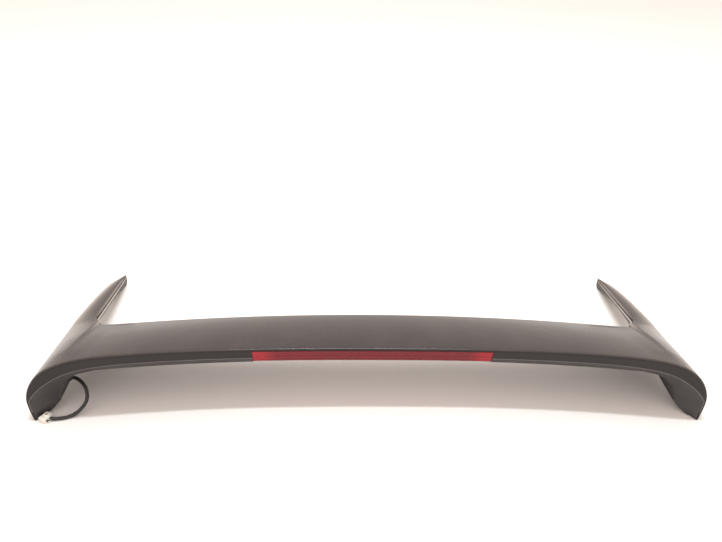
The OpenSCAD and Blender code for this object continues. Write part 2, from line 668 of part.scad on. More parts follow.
// Bush in the inner wall of the left fin, where the lead comes out
module harness_grommet() {
    color([0.09, 0.09, 0.09])
    translate(exit_at) rotate([0, 90, 0]) rotate_extrude()
        polygon([[inner_r + 0.15, -9.5], [7, -9.5], [7, -7.5], [bush_r, -7.5], [bush_r, 4], [6.4, 4], [6.4, 5.2],
                 [4.4, 8], [inner_r + 0.15, 8]]);
}

// Free lead from the bush down to the connector on the resting plane, measured from the left rear corner
lead_points = [[59.6, 62, 44.3], [64, 62, 44.3], [70, 59.5, 44.4], [76.5, 54.8, 44.2], [82.5, 49.5, 43.4],
               [87.5, 44.5, 41.6], [91.5, 39.5, 38.4], [94, 34, 34.2], [95, 29, 29], [94, 25, 24],
               [91, 21, 18.8], [86.5, 17, 13.8], [80.5, 13, 9], [73.5, 9.5, 5.6], [66, 6.5, 3.8],
               [58, 3.7, 3.3], [48, 2, 3.3], [38, 0.8, 3.9]];
lead_route = [for (p = lead_points) left_corner + p];
module lead() {
    color([0.08, 0.07, 0.07]) tube(lead_route, lead_d / 2, 8);
}

plug_turn = 186;
plug_end = left_corner + [37.6, 0.75, 0];
module on_plug() {
    translate(plug_end) rotate([0, 0, plug_turn]) children();
}
module connector_housing() {
    color([0.94, 0.93, 0.88])
    on_plug() difference() {
        union() {
            translate([0, -plug_w / 2, 0]) cube([plug_len, plug_w, plug_h]);
            translate([3, -3.4, plug_h - 1]) cube([2, 6.8, 4]);
            translate([11, -3.4, plug_h - 1]) cube([2, 6.8, 4]);
            translate([3, -3.4, plug_h + 1]) cube([10, 1.6, 2]);
            translate([3, 1.8, plug_h + 1]) cube([10, 1.6, 2]);
        }
        for (side = [-1, 1]) translate([6, side * 3.2 - 1.8, 2]) cube([plug_len, 3.6, 4.6]);
        translate([plug_len - 5, -plug_w / 2 + 1.4, 7.4]) cube([6, plug_w - 2.8, 1.8]);
    }
}

module connector_terminals() {
    color([0.78, 0.70, 0.42])
    on_plug() for (side = [-1, 1]) translate([6 + fit, side * 3.2 - 1.2, 2 + fit / 2]) difference() {
        cube([12, 2.4, 3]);
        translate([4, 0.5, 0.6]) cube([12, 1.4, 1.8]);
    }
}

module connector_lock() {
    color([0.35, 0.45, 0.70])
    on_plug() translate([plug_len - 5 + fit, -plug_w / 2 + 1.6, 7.5]) cube([4.4, plug_w - 3.2, 1.5]);
}

outer_skin();
lower_shell();
arm_base_left();
arm_base_right();
arm_tape();
glass_seal();
lamp_housing();
lamp_lens();
lamp_reflector();
led_board();
leds();
lamp_gasket();
lamp_screws();
lamp_plug();
inner_harness();
harness_clips();
harness_grommet();
lead();
connector_housing();
connector_terminals();
connector_lock();
mounting_studs();
stud_seals();
arm_clips();
clip_seals();
shell_screws();
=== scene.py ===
import math

import bmesh
import bpy
from mathutils import Matrix, Vector


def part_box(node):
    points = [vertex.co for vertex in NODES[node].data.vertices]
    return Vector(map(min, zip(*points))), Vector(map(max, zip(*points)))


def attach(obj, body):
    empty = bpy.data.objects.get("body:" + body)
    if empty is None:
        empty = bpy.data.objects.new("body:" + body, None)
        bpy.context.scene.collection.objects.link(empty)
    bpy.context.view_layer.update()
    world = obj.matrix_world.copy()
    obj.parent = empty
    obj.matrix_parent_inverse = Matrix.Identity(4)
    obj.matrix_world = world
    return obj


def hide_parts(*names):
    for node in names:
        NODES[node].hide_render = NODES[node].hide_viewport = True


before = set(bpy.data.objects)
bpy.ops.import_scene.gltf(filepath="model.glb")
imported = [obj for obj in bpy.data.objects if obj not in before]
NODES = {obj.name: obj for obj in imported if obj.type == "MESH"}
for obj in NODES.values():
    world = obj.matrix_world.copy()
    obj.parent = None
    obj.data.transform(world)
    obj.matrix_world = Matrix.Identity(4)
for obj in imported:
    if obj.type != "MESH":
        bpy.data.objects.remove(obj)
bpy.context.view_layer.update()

MM = 0.001

# The view: a camera above and behind the spoiler, looking down at it and a
# little to its left, as it was photographed.
PHOTO_W = 722
FOCAL_PX = 620.0
CAMERA_AT = Vector((-0.0606, -1.011, 0.8157))
DOWN, TURN, TILT = math.radians(32.3), math.radians(-2.364), math.radians(1.692)

turn = Matrix.Rotation(TURN, 3, "Z")
ahead = turn @ Vector((0, math.cos(DOWN), -math.sin(DOWN)))
above = turn @ Vector((0, math.sin(DOWN), math.cos(DOWN)))
across = turn @ Vector((1, 0, 0))
cam_x = math.cos(TILT) * across + math.sin(TILT) * above
cam_y = math.cos(TILT) * above - math.sin(TILT) * across
camera = bpy.data.objects.new("camera", bpy.data.cameras.new("camera"))
camera.data.sensor_width = 36.0
camera.data.lens = 36.0 * FOCAL_PX / PHOTO_W
camera.data.clip_end = 100.0
camera.matrix_world = Matrix((
    (cam_x.x, cam_y.x, -ahead.x, CAMERA_AT.x),
    (cam_x.y, cam_y.y, -ahead.y, CAMERA_AT.y),
    (cam_x.z, cam_y.z, -ahead.z, CAMERA_AT.z),
    (0, 0, 0, 1)))
bpy.context.scene.collection.objects.link(camera)
bpy.context.scene.camera = camera

# Lead: two cores in a black braided sleeve, from the bush in the left fin down to
# the table and back to the corner of the fin. A heat-shrink collar closes the
# sleeve, and the two cores come out of it to the connector.
skin_low, skin_high = (Vector(p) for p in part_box("outer_skin"))
LEFT_CORNER = Vector((skin_low.x, -0.22, 0))
LEAD_D = 6.4 * MM
lead_points = [LEFT_CORNER + Vector(p) * MM for p in (
    (59.6, 62, 44.3), (64, 62, 44.3), (70, 59.5, 44.4), (76.5, 54.8, 44.2), (82.5, 49.5, 43.4),
    (87.5, 44.5, 41.6), (91.5, 39.5, 38.4), (94, 34, 34.2), (95, 29, 29), (94, 25, 24),
    (91, 21, 18.8), (86.5, 17, 13.8), (80.5, 13, 9), (73.5, 9.5, 5.6), (66, 6.5, 3.8),
    (58, 3.7, 3.3), (48, 2, 3.3), (38, 0.8, 3.9))]


def put(name, verts, faces, smooth_deg=None):
    """A new mesh object in the scene; smooth where its faces meet at less than smooth_deg."""
    mesh = bpy.data.meshes.new(name)
    mesh.from_pydata([tuple(v) for v in verts], [], faces)
    mesh.update()
    if smooth_deg:
        mesh.shade_smooth()
        mesh.set_sharp_from_angle(angle=math.radians(smooth_deg))
    obj = bpy.data.objects.new(name, mesh)
    bpy.context.scene.collection.objects.link(obj)
    return obj


def spline_points(points, steps):
    """Points on a smooth curve through the given ones, steps between each two."""
    ends = [points[0] * 2 - points[1]] + list(points) + [points[-1] * 2 - points[-2]]
    made = []
    for k in range(1, len(ends) - 2):
        p0, p1, p2, p3 = ends[k - 1:k + 3]
        for s in range(steps):
            t = s / steps
            made.append(0.5 * (2 * p1 + (p2 - p0) * t + (2 * p0 - 5 * p1 + 4 * p2 - p3) * t * t
                               + (3 * p1 - p0 - 3 * p2 + p3) * t ** 3))
    made.append(points[-1])
    return made


def tube(name, path, radius_at, sides=20, bumps=None):
    """A closed tube along path; radius_at gives its radius at each point, and
    bumps(k, angle) adds to it."""
    verts, faces = [], []
    normal = Vector((0, 0, 1))
    for k, p in enumerate(path):
        along = (path[min(len(path) - 1, k + 1)] - path[max(0, k - 1)]).normalized()
        normal = (normal - along * normal.dot(along)).normalized()
        side = along.cross(normal)
        for m in range(sides):
            a = 2 * math.pi * m / sides
            r = radius_at(k) + (bumps(k, a) if bumps else 0)
            verts.append(p + r * (math.cos(a) * normal + math.sin(a) * side))
    for k in range(len(path) - 1):
        for m in range(sides):
            n = (m + 1) % sides
            faces.append((k * sides + m, k * sides + n, (k + 1) * sides + n, (k + 1) * sides + m))
    faces.append(tuple(range(sides - 1, -1, -1)))
    last = (len(path) - 1) * sides
    faces.append(tuple(last + m for m in range(sides)))
    return put(name, verts, faces, 40)


def new_material(name, color, rough, metal=0.0):
    """A material with its colour and roughness on the shader; returns it and the shader."""
    mat = bpy.data.materials.new(name)
    mat.use_nodes = True
    shader = mat.node_tree.nodes["Principled BSDF"]
    shader.inputs["Base Color"].default_value = (*color, 1)
    shader.inputs["Roughness"].default_value = rough
    shader.inputs["Metallic"].default_value = metal
    return mat, shader


def add_node(tree, kind, settings=None, **values):
    """A node in a material's or a group's tree, with its settings and input values."""
    made = tree.nodes.new(kind)
    for key, value in (settings or {}).items():
        setattr(made, key, value)
    for key, value in values.items():
        made.inputs[key.replace("_", " ")].default_value = value
    return made


def effect_group(name, inputs, outputs):
    """A node group with named float inputs and outputs: its tree, its input and its output node."""
    group = bpy.data.node_groups.new(name, "ShaderNodeTree")
    for title, value in inputs:
        made = group.interface.new_socket(title, in_out="INPUT", socket_type="NodeSocketFloat")
        made.default_value = value
    for title in outputs:
        group.interface.new_socket(title, in_out="OUTPUT", socket_type="NodeSocketFloat")
    return group, group.nodes.new("NodeGroupInput"), group.nodes.new("NodeGroupOutput")


def use_group(mat, group, **values):
    """A node group placed in a material, with this material's own values."""
    made = add_node(mat.node_tree, "ShaderNodeGroup", {"node_tree": group})
    for key, value in values.items():
        made.inputs[key.replace("_", " ")].default_value = value
    return made


# Moulded grain, for every moulded piece: a fine grain, and soft clouds.
grain, g_in, g_out = effect_group(
    "moulded_grain", [("Scale", 900.0), ("Cloud Scale", 12.0)], ["Height", "Cloud"])
g_place = grain.nodes.new("ShaderNodeTexCoord")
g_fine = add_node(grain, "ShaderNodeTexNoise", Detail=3.0)
g_cloud = add_node(grain, "ShaderNodeTexNoise", Detail=5.0, Roughness=0.6)
for pair in (
        (g_place.outputs["Object"], g_fine.inputs["Vector"]),
        (g_place.outputs["Object"], g_cloud.inputs["Vector"]),
        (g_in.outputs["Scale"], g_fine.inputs["Scale"]),
        (g_in.outputs["Cloud Scale"], g_cloud.inputs["Scale"]),
        (g_fine.outputs["Fac"], g_out.inputs["Height"]),
        (g_cloud.outputs["Fac"], g_out.inputs["Cloud"])):
    grain.links.new(*pair)

# Dust and painted top light: a pale film where a face looks up, broken up into soft
# patches and specks. It is settled dust, and also painted light: the brightness that
# up-facing faces catch from overhead.
dust_and_light, d_in, d_out = effect_group("dust_and_top_light", [("Amount", 0.5), ("Scale", 30.0)], ["Mask"])
d_normal = dust_and_light.nodes.new("ShaderNodeNewGeometry")
d_split = dust_and_light.nodes.new("ShaderNodeSeparateXYZ")
d_up = add_node(dust_and_light, "ShaderNodeMapRange", {"interpolation_type": "SMOOTHSTEP"},
                From_Min=0.1, From_Max=0.95)
d_place = dust_and_light.nodes.new("ShaderNodeTexCoord")
d_patch = add_node(dust_and_light, "ShaderNodeTexNoise", Detail=6.0, Roughness=0.65)
d_spread = add_node(dust_and_light, "ShaderNodeMapRange", From_Min=0.3, From_Max=0.7, To_Min=0.55, To_Max=1.0)
d_times = add_node(dust_and_light, "ShaderNodeMath", {"operation": "MULTIPLY"})
d_amount = add_node(dust_and_light, "ShaderNodeMath", {"operation": "MULTIPLY"})
for pair in (
        (d_normal.outputs["Normal"], d_split.inputs[0]),
        (d_split.outputs["Z"], d_up.inputs["Value"]),
        (d_place.outputs["Object"], d_patch.inputs["Vector"]),
        (d_in.outputs["Scale"], d_patch.inputs["Scale"]),
        (d_patch.outputs["Fac"], d_spread.inputs["Value"]),
        (d_up.outputs["Result"], d_times.inputs[0]),
        (d_spread.outputs["Result"], d_times.inputs[1]),
        (d_times.outputs[0], d_amount.inputs[0]),
        (d_in.outputs["Amount"], d_amount.inputs[1]),
        (d_amount.outputs[0], d_out.inputs["Mask"])):
    dust_and_light.links.new(*pair)


def moulded(name, dark, light, rough, scale=900.0, bump=0.05, metal=0.0, dust_and_light_amount=0.0,
            rough_spread=0.12, dust_and_light_tone=(0.36, 0.32, 0.29)):
    """Moulded plastic, rubber or plated metal: two close colours in soft clouds under a
    fine grain, a roughness that varies with the clouds, and a pale film where it faces up:
    dust, and painted light on the upper faces."""
    mat, shader = new_material(name, dark, rough, metal)
    tree = mat.node_tree
    effect = use_group(mat, grain, Scale=scale)
    mix = add_node(tree, "ShaderNodeMix", {"data_type": "RGBA"})
    mix.inputs[6].default_value = (*dark, 1)
    mix.inputs[7].default_value = (*light, 1)
    tree.links.new(effect.outputs["Cloud"], mix.inputs[0])
    color = mix.outputs[2]
    if dust_and_light_amount:
        # Pale film where the piece faces up: dust, and painted light on its upper faces.
        dust_and_light_mask = use_group(mat, dust_and_light, Amount=dust_and_light_amount, Scale=40.0)
        over = add_node(tree, "ShaderNodeMix", {"data_type": "RGBA"})
        over.inputs[7].default_value = (*dust_and_light_tone, 1)
        tree.links.new(dust_and_light_mask.outputs["Mask"], over.inputs[0])
        tree.links.new(color, over.inputs[6])
        color = over.outputs[2]
    tree.links.new(color, shader.inputs["Base Color"])
    spread = add_node(tree, "ShaderNodeMapRange", From_Min=0.3, From_Max=0.7,
                      To_Min=rough - rough_spread / 2, To_Max=rough + rough_spread / 2)
    tree.links.new(effect.outputs["Cloud"], spread.inputs["Value"])
    tree.links.new(spread.outputs["Result"], shader.inputs["Roughness"])
    bumps = add_node(tree, "ShaderNodeBump", Strength=bump, Distance=0.001)
    tree.links.new(effect.outputs["Height"], bumps.inputs["Height"])
    tree.links.new(bumps.outputs["Normal"], shader.inputs["Normal"])
    return mat, shader


def dress(name, mat):
    """Gives a carried-over node its material."""
    for place in NODES[name].material_slots:
        place.material = mat


BRAID_RISE = 0.22 * MM
BRAID_PITCH = 3.2 * MM
BRAID_STRANDS = 5
lead_path = spline_points(lead_points, 20)
run = [0.0]
for a, b in zip(lead_path, lead_path[1:]):
    run.append(run[-1] + (b - a).length)


def braid(k, angle):
    """Height of the crossing strands of the sleeve, at a point of the path and an angle round it."""
    along = 2 * math.pi * run[k] / BRAID_PITCH
    one_way = math.sin(along + BRAID_STRANDS * angle)
    other_way = math.sin(along - BRAID_STRANDS * angle)
    return BRAID_RISE * (max(one_way, other_way) - 1)


lead = tube("lead_sleeve", lead_path, lambda k: LEAD_D / 2, 40, braid)
sleeve_mat, _ = moulded("black_sleeve", (0.010, 0.009, 0.009), (0.026, 0.024, 0.023),
                        0.45, 1400.0, 0.3, dust_and_light_amount=0.05)
lead.data.materials.append(sleeve_mat)
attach(lead, "root")
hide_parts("lead")

# Connector: a two-way housing of natural white nylon, moulded with a latch window and
# two ribs on top and a cavity for each core. Crimped tinned terminals sit in the
# cavities, and a blue lock slides in over them.
PLUG_TURN = math.radians(155)
PLUG_AT = LEFT_CORNER + Vector((33.9, -0.35, 0)) * MM
PLUG_L, PLUG_W, PLUG_H = 14 * MM, 18 * MM, 9.5 * MM
CORE_GAP = 8 * MM
CORE_Z = 4.2 * MM
KEPT_EDGE = math.radians(35)
on_plug = Matrix.Translation(PLUG_AT) @ Matrix.Rotation(PLUG_TURN, 4, "Z")


def block(name, low, high, bevel=0.0, segments=2):
    """A box between two corners with rounded edges."""
    bm = bmesh.new()
    bmesh.ops.create_cube(bm, size=1)
    low, high = Vector(low), Vector(high)
    for v in bm.verts:
        v.co = Vector((low + high) / 2) + Vector([v.co[n] * (high - low)[n] for n in range(3)])
    if bevel:
        bmesh.ops.bevel(bm, geom=list(bm.edges), offset=bevel, segments=segments,
                        affect="EDGES", profile=0.5)
    mesh = bpy.data.meshes.new(name)
    bm.to_mesh(mesh)
    bm.free()
    mesh.shade_smooth()
    mesh.set_sharp_from_angle(angle=KEPT_EDGE)
    obj = bpy.data.objects.new(name, mesh)
    bpy.context.scene.collection.objects.link(obj)
    return obj


def shaped(obj, cutters=(), joined=()):
    """Cuts the cutters out of a solid, joins others to it, and keeps the result as its mesh."""
    for other, how in [(o, "UNION") for o in joined] + [(o, "DIFFERENCE") for o in cutters]:
        step = obj.modifiers.new(how, "BOOLEAN")
        step.operation = how
        step.object = other
        step.solver = "EXACT"
    graph = bpy.context.evaluated_depsgraph_get()
    mesh = bpy.data.meshes.new_from_object(obj.evaluated_get(graph))
    obj.modifiers.clear()
    obj.data = mesh
    mesh.set_sharp_from_angle(angle=KEPT_EDGE)
    for other in list(cutters) + list(joined):
        bpy.data.objects.remove(other)
    return obj


def merged(name, parts):
    """One object from several closed ones."""
    bm = bmesh.new()
    for part in parts:
        bm.from_mesh(part.data)
        bpy.data.objects.remove(part)
    mesh = bpy.data.meshes.new(name)
    bm.to_mesh(mesh)
    bm.free()
    obj = bpy.data.objects.new(name, mesh)
    bpy.context.scene.collection.objects.link(obj)
    return obj


LATCH_LOW = Vector((1.5, -8, 8.5)) * MM
LATCH_HIGH = LATCH_LOW + Vector((8.5, 11, 3.5)) * MM
body = block("body", (0, -PLUG_W / 2, 0), (PLUG_L, PLUG_W / 2, PLUG_H), 0.7 * MM)
latch = block("latch", LATCH_LOW, LATCH_HIGH, 0.5 * MM)
RIB_HALF_W, RIB_Y = 0.6 * MM, (4.6, 6.8)
ribs = [block("rib", (2.5 * MM, y * MM - RIB_HALF_W, PLUG_H - 1 * MM),
              (PLUG_L - 1.5 * MM, y * MM + RIB_HALF_W, PLUG_H + 0.9 * MM), 0.25 * MM)
        for y in RIB_Y]
cuts = [block("window", LATCH_LOW + Vector((2.2, 2.6, -1.2)) * MM,
              LATCH_LOW + Vector((6.2, 8.2, 6)) * MM)]
CAVITY_HALF_W, BORE_BACK_R = 2.6 * MM, 2.2 * MM
for side in (-1, 1):
    y = side * CORE_GAP / 2
    cuts.append(block("cavity", (5 * MM, y - CAVITY_HALF_W, 1.6 * MM),
                      (PLUG_L + 2 * MM, y + CAVITY_HALF_W, 6.6 * MM)))
    back, inner = Vector((-2 * MM, y, CORE_Z)), Vector((6 * MM, y, CORE_Z))
    cuts.append(tube("bore", [back, inner], lambda k: BORE_BACK_R, 24))
cuts.append(block("lock_slot", (PLUG_L - 5 * MM, -PLUG_W / 2 + 1.4 * MM, 7.0 * MM),
                  (PLUG_L + 1 * MM, PLUG_W / 2 - 1.4 * MM, 8.4 * MM)))
connector = shaped(body, cuts, [latch] + ribs)
connector.name = "connector_body"
connector.data.transform(on_plug)
white_nylon, nylon_shader = moulded("white_nylon", (0.76, 0.74, 0.67), (0.86, 0.84, 0.78),
                                    0.38, 500.0, 0.03)
nylon_shader.inputs["Subsurface Weight"].default_value = 0.12
nylon_shader.inputs["Subsurface Radius"].default_value = (0.004, 0.003, 0.002)
connector.data.materials.clear()
connector.data.materials.append(white_nylon)
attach(connector, "root")
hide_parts("connector_housing")

boxes = []
for side in (-1, 1):
    y = side * CORE_GAP / 2
    contact = block("contact", (6.3 * MM, y - 1.2 * MM, 1.8 * MM),
                    (14 * MM, y + 1.2 * MM, 4.8 * MM), 0.25 * MM)
    mouth = block("mouth", (9 * MM, y - 0.7 * MM, 2.4 * MM), (16 * MM, y + 0.7 * MM, 4.2 * MM))
    boxes.append(shaped(contact, [mouth]))
terminals = merged("crimped_terminals", boxes)
terminals.data.transform(on_plug)
tin_mat, _ = moulded("tinned_brass", (0.52, 0.46, 0.33), (0.68, 0.64, 0.55),
                     0.3, 300.0, 0.02, 1.0)
terminals.data.materials.append(tin_mat)
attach(terminals, "root")
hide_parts("connector_terminals")

lock = block("blue_lock", (PLUG_L - 4.7 * MM, -PLUG_W / 2 + 1.6 * MM, 7.1 * MM),
             (PLUG_L - 0.3 * MM, PLUG_W / 2 - 1.6 * MM, 8.3 * MM), 0.25 * MM)
lock.data.transform(on_plug)
lock_mat, _ = moulded("blue_nylon", (0.10, 0.20, 0.50), (0.14, 0.25, 0.58), 0.4)
lock.data.materials.append(lock_mat)
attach(lock, "root")
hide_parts("connector_lock")

# Cores: two thin black insulated copper cores, from the shrunk collar at the end of
# the sleeve into the back of the connector. The collar is heat-shrink tube, and
# swells a little over the end of the sleeve.
CORE_R = 1.0 * MM
core_ends = []
for side, bow in ((-1, (0.5, 2.2)), (1, (0.2, -1.4))):
    inside = on_plug @ Vector((5.6 * MM, side * CORE_GAP / 2, CORE_Z))
    face = on_plug @ Vector((0, side * CORE_GAP / 2, CORE_Z))
    off = on_plug @ Vector((-2.0 * MM, side * CORE_GAP / 2 * 0.94, CORE_Z))
    split = lead_points[-1] + Vector((1.2, 0, 0)) * MM
    across_end = Vector((0, -side * 1.1 * MM, 0))
    halfway = (split + across_end + off) / 2 + Vector((*bow, 0)) * 0.3 * MM
    route = [split + across_end * 0.9, halfway, off, face, inside]
    core_ends.append(tube("core", spline_points(route, 8), lambda k: CORE_R, 14))
cores = merged("lead_cores", core_ends)
cores.data.shade_smooth()
core_mat, _ = moulded("black_insulation", (0.014, 0.013, 0.013), (0.03, 0.028, 0.027),
                      0.4, 900.0, 0.05)
cores.data.materials.append(core_mat)
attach(cores, "root")
collar_path = spline_points(lead_points[-4:-1], 12)[10:]


def collar_r(k):
    """Radius of the collar: tight at its two ends, over the sleeve between them."""
    share = min(1, k / (len(collar_path) - 1))
    return LEAD_D / 2 - 0.15 * MM + 0.2 * MM * math.sin(math.pi * share) ** 0.3


collar = tube("shrink_collar", collar_path, collar_r, 28)
collar.data.materials.append(core_mat)
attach(collar, "root")

# Bush: soft black rubber, snapped into a hole in the inner wall of the fin. It keeps
# the edge of the hole off the lead, where the lead comes out.
rubber_mat, _ = moulded("black_rubber", (0.012, 0.012, 0.012), (0.028, 0.027, 0.026),
                        0.62, 700.0, 0.12, dust_and_light_amount=0.25)
dress("harness_grommet", rubber_mat)

# Shading of a carried-over node: smooth across its facets, with its real edges sharp.
FACET_TURN = math.radians(32)
smoothing = bpy.data.node_groups.new("smooth_facets", "GeometryNodeTree")
for way in ("INPUT", "OUTPUT"):
    smoothing.interface.new_socket("Geometry", in_out=way, socket_type="NodeSocketGeometry")
s_in, s_out = smoothing.nodes.new("NodeGroupInput"), smoothing.nodes.new("NodeGroupOutput")
s_weld = add_node(smoothing, "GeometryNodeMergeByDistance", Distance=0.002 * MM)
s_angle = smoothing.nodes.new("GeometryNodeInputMeshEdgeAngle")
s_below = add_node(smoothing, "FunctionNodeCompare", {"operation": "LESS_THAN"}, B=FACET_TURN)
s_faces = add_node(smoothing, "GeometryNodeSetShadeSmooth", {"domain": "FACE"}, Shade_Smooth=True)
s_edges = add_node(smoothing, "GeometryNodeSetShadeSmooth", {"domain": "EDGE"})
for pair in (
        (s_in.outputs[0], s_weld.inputs["Geometry"]),
        (s_weld.outputs["Geometry"], s_faces.inputs["Geometry"]),
        (s_faces.outputs["Geometry"], s_edges.inputs["Geometry"]),
        (s_angle.outputs["Unsigned Angle"], s_below.inputs["A"]),
        (s_below.outputs["Result"], s_edges.inputs["Shade Smooth"]),
        (s_edges.outputs["Geometry"], s_out.inputs[0])):
    smoothing.links.new(*pair)


def smooth_facets(name):
    """Gives a carried-over node its smooth shading."""
    NODES[name].modifiers.new("smooth_facets", "NODES").node_group = smoothing


smooth_facets("harness_grommet")

# Skin: one moulding of painted plastic with the upper face, the rounded trailing
# edge, the rear band, the outsides of the fins and the tops of the arms. The paint is
# a dark warm grey gloss, dulled by fine wiping marks and, where it faces up, by dust;
# the pale film there is also painted light on the upper faces.
HALF_W, REAR_Y, TIP_Y = skin_high.x, -220 * MM, skin_high.y
CREST_H, WIDE_Z, UNDER_RISE = 122 * MM, 38 * MM, 34 * MM
EDGE_SWEEP, BAND_H, BAND_MORE, EDGE_R = 42 * MM, 20 * MM, 4 * MM, 4 * MM
CHORD, LEAD_H, LEAD_DROP, CROWN_H = 142 * MM, 92 * MM, 30 * MM, 5 * MM
ROOT_X = HALF_W - 64 * MM
ARM_TIP_H, ARM_TIP_W, SKIN_T, LAMP_X = 22 * MM, 5 * MM, 3 * MM, 212 * MM
NOSE_L, NOSE_RISE, FOOT_IN, FOOT_EDGE = 14 * MM, 8 * MM, 8 * MM, 4 * MM
CORNER_Y = REAR_Y + 8 * MM
CREST_MID_Y = CORNER_Y + EDGE_SWEEP
LEAD_Y = CREST_MID_Y + CHORD
ROOT_Y = LEAD_Y + 14 * MM
ROOT_Z = LEAD_H - LEAD_DROP
CONTACT_Y = TIP_Y - NOSE_L
CORNER_W = 13 * MM
FRONT_WIDE_X, FRONT_FOOT_X = HALF_W - 6 * MM, HALF_W - 9 * MM
WIDE_A, FOOT_A = 90.0, 150.0
SIDE_TOP = 0.4


def lerp(a, b, t):
    return a + (b - a) * t


def foot_z(y):
    """Height of the lower edge: an arch from the rear corner to the arm's point of
    contact, then the nose."""
    if y < CONTACT_Y:
        return UNDER_RISE * (1 - (y / (REAR_Y if y < 0 else CONTACT_Y)) ** 2)
    return NOSE_RISE * ((y - CONTACT_Y) / NOSE_L) ** 1.5


def crest_y(x):
    """How far back the trailing edge is: it sweeps back towards the fins."""
    return CREST_MID_Y - EDGE_SWEEP * (abs(x) / HALF_W) ** 2.5


def crest_z(x):
    """Height of the trailing edge: nearly level, then rolled down at the ends."""
    return WIDE_Z + (CREST_H - WIDE_Z) * max(0, 1 - (abs(x) / HALF_W) ** 14) ** 0.6


# A section of the skin is numbered by its place x on the blade, and beyond the arm's
# root by the root's x and a turn f, 0 to 90 degrees round the shoulder and 90 to 150
# down the fin to its foot.
def fin_share(f):
    """How far down the fin a turn is, from 0 at its widest to 1 at its foot."""
    return max(0.0, (f - WIDE_A) / (FOOT_A - WIDE_A))


def crest(x, f):
    """The trailing edge of a section."""
    if f <= 0:
        return Vector((x, crest_y(x), crest_z(x)))
    w = fin_share(f)
    at = ROOT_X + (HALF_W - ROOT_X) * math.sin(math.radians(min(90, f))) - FOOT_IN * w ** 1.5
    if f <= WIDE_A:
        return Vector((at, crest_y(at), crest_z(at)))
    return Vector((at, lerp(CORNER_Y, REAR_Y, w), WIDE_Z * (1 - w)))


def front(x, f):
    """The leading edge of a section."""
    if f <= 0:
        y = LEAD_Y + (ROOT_Y - LEAD_Y) * max(0, (x - ROOT_X + CORNER_W) / CORNER_W) ** 2
        return Vector((x, y, LEAD_H - LEAD_DROP * (x / ROOT_X) ** 2))
    low = foot_z(ROOT_Y)
    mid = lerp(low, ROOT_Z, SIDE_TOP)
    g, w = math.radians(min(90, f)), fin_share(f)
    if f <= WIDE_A:
        z = lerp(mid, ROOT_Z, max(0, math.cos(g)) ** 0.9)
        return Vector((lerp(ROOT_X, FRONT_WIDE_X, math.sin(g)), ROOT_Y, z))
    return Vector((lerp(FRONT_WIDE_X, FRONT_FOOT_X, w), ROOT_Y, lerp(mid, low, w)))


def step_along(x, f, by):
    """The section a little further out or in."""
    if f > 0 or (x >= ROOT_X - 1e-9 and by > 0):
        return (ROOT_X, min(FOOT_A, max(0.0, f + by)))
    return (max(0.0, min(ROOT_X, x + by * MM)), 0.0)


def into_band(x, f):
    """The direction from the trailing edge down the band, square to the edge."""
    d = crest(*step_along(x, f, 0.5)) - crest(*step_along(x, f, -0.5))
    return Vector((d.z, 0.1 * d.length, -d.x)).normalized()


def band_w(x, f):
    """Depth of the band: more towards the fins, then down to the narrow foot."""
    full = BAND_H + BAND_MORE * min(1, (x if f <= 0 else ROOT_X) / ROOT_X) ** 6
    turn = math.radians(max(0, min(90, f) - 20) * 90 / 70)
    return FOOT_EDGE + (full - FOOT_EDGE) * (1 if f <= 0 else math.cos(turn))


def band_at(x, f, d):
    """The band, at a distance d below the trailing edge."""
    return crest(x, f) + into_band(x, f) * d


def top_at(x, f, t):
    """The upper face, from the trailing edge (t 0) to the leading edge (t 1)."""
    p = crest(x, f).lerp(front(x, f), t)
    p.z += (CROWN_H * 4 * t * (1 - t) * (1 if f <= 0 else math.cos(math.radians(min(90, f))))
            + fin_share(f) * (foot_z(p.y) - foot_z(ROOT_Y) * t))
    return p


ARM_STEP_IN, ARM_LEAN_IN, ARM_LEAN_OUT = 10.5 * MM, 10 * MM, 8 * MM
ROLL_W, ROLL_DOWN, ROLL_FROM = 9 * MM, 1.5 * MM, 0.12


def arm_in_x(t):
    """The inner edge of the arm: a quick step out of the root, then a slow lean outwards."""
    return ROOT_X + ARM_STEP_IN * min(1, (t / 0.07) ** 0.55) + ARM_LEAN_IN * t


def arm_out_x(t):
    """The outer edge of the arm, which turns in to the pointed tip at the end."""
    tip_x = ROOT_X + ARM_STEP_IN + ARM_LEAN_IN + ARM_TIP_W
    return FRONT_WIDE_X - ARM_LEAN_OUT * t - (FRONT_WIDE_X - ARM_LEAN_OUT - tip_x) * t ** 12


def arm_at(f, t):
    """The arm, from its root (t 0) to its tip (t 1); its top rolls down a little to the inner edge."""
    y = lerp(ROOT_Y, TIP_Y, t)
    top, low = lerp(ROOT_Z, ARM_TIP_H, t), foot_z(y)
    mid = lerp(low, top, SIDE_TOP)
    g, w = math.radians(min(90, f)), fin_share(f)
    x_in, x_out = arm_in_x(t), arm_out_x(t)
    if f <= WIDE_A:
        x = lerp(x_in, x_out, math.sin(g))
        width = x_out - x_in
        share = max(0.0, 1 - (x - x_in) / (ROLL_W * min(1, width / (24 * MM))))
        down = ROLL_DOWN * share ** 2 * min(1, t / ROLL_FROM) * min(1, width / (30 * MM))
        return Vector((x, y, lerp(mid, top, max(0, math.cos(g)) ** 0.9) - down))
    return Vector((lerp(x_out, x_out - 3 * MM * (1 - 0.6 * t), w), y, lerp(mid, low, w)))


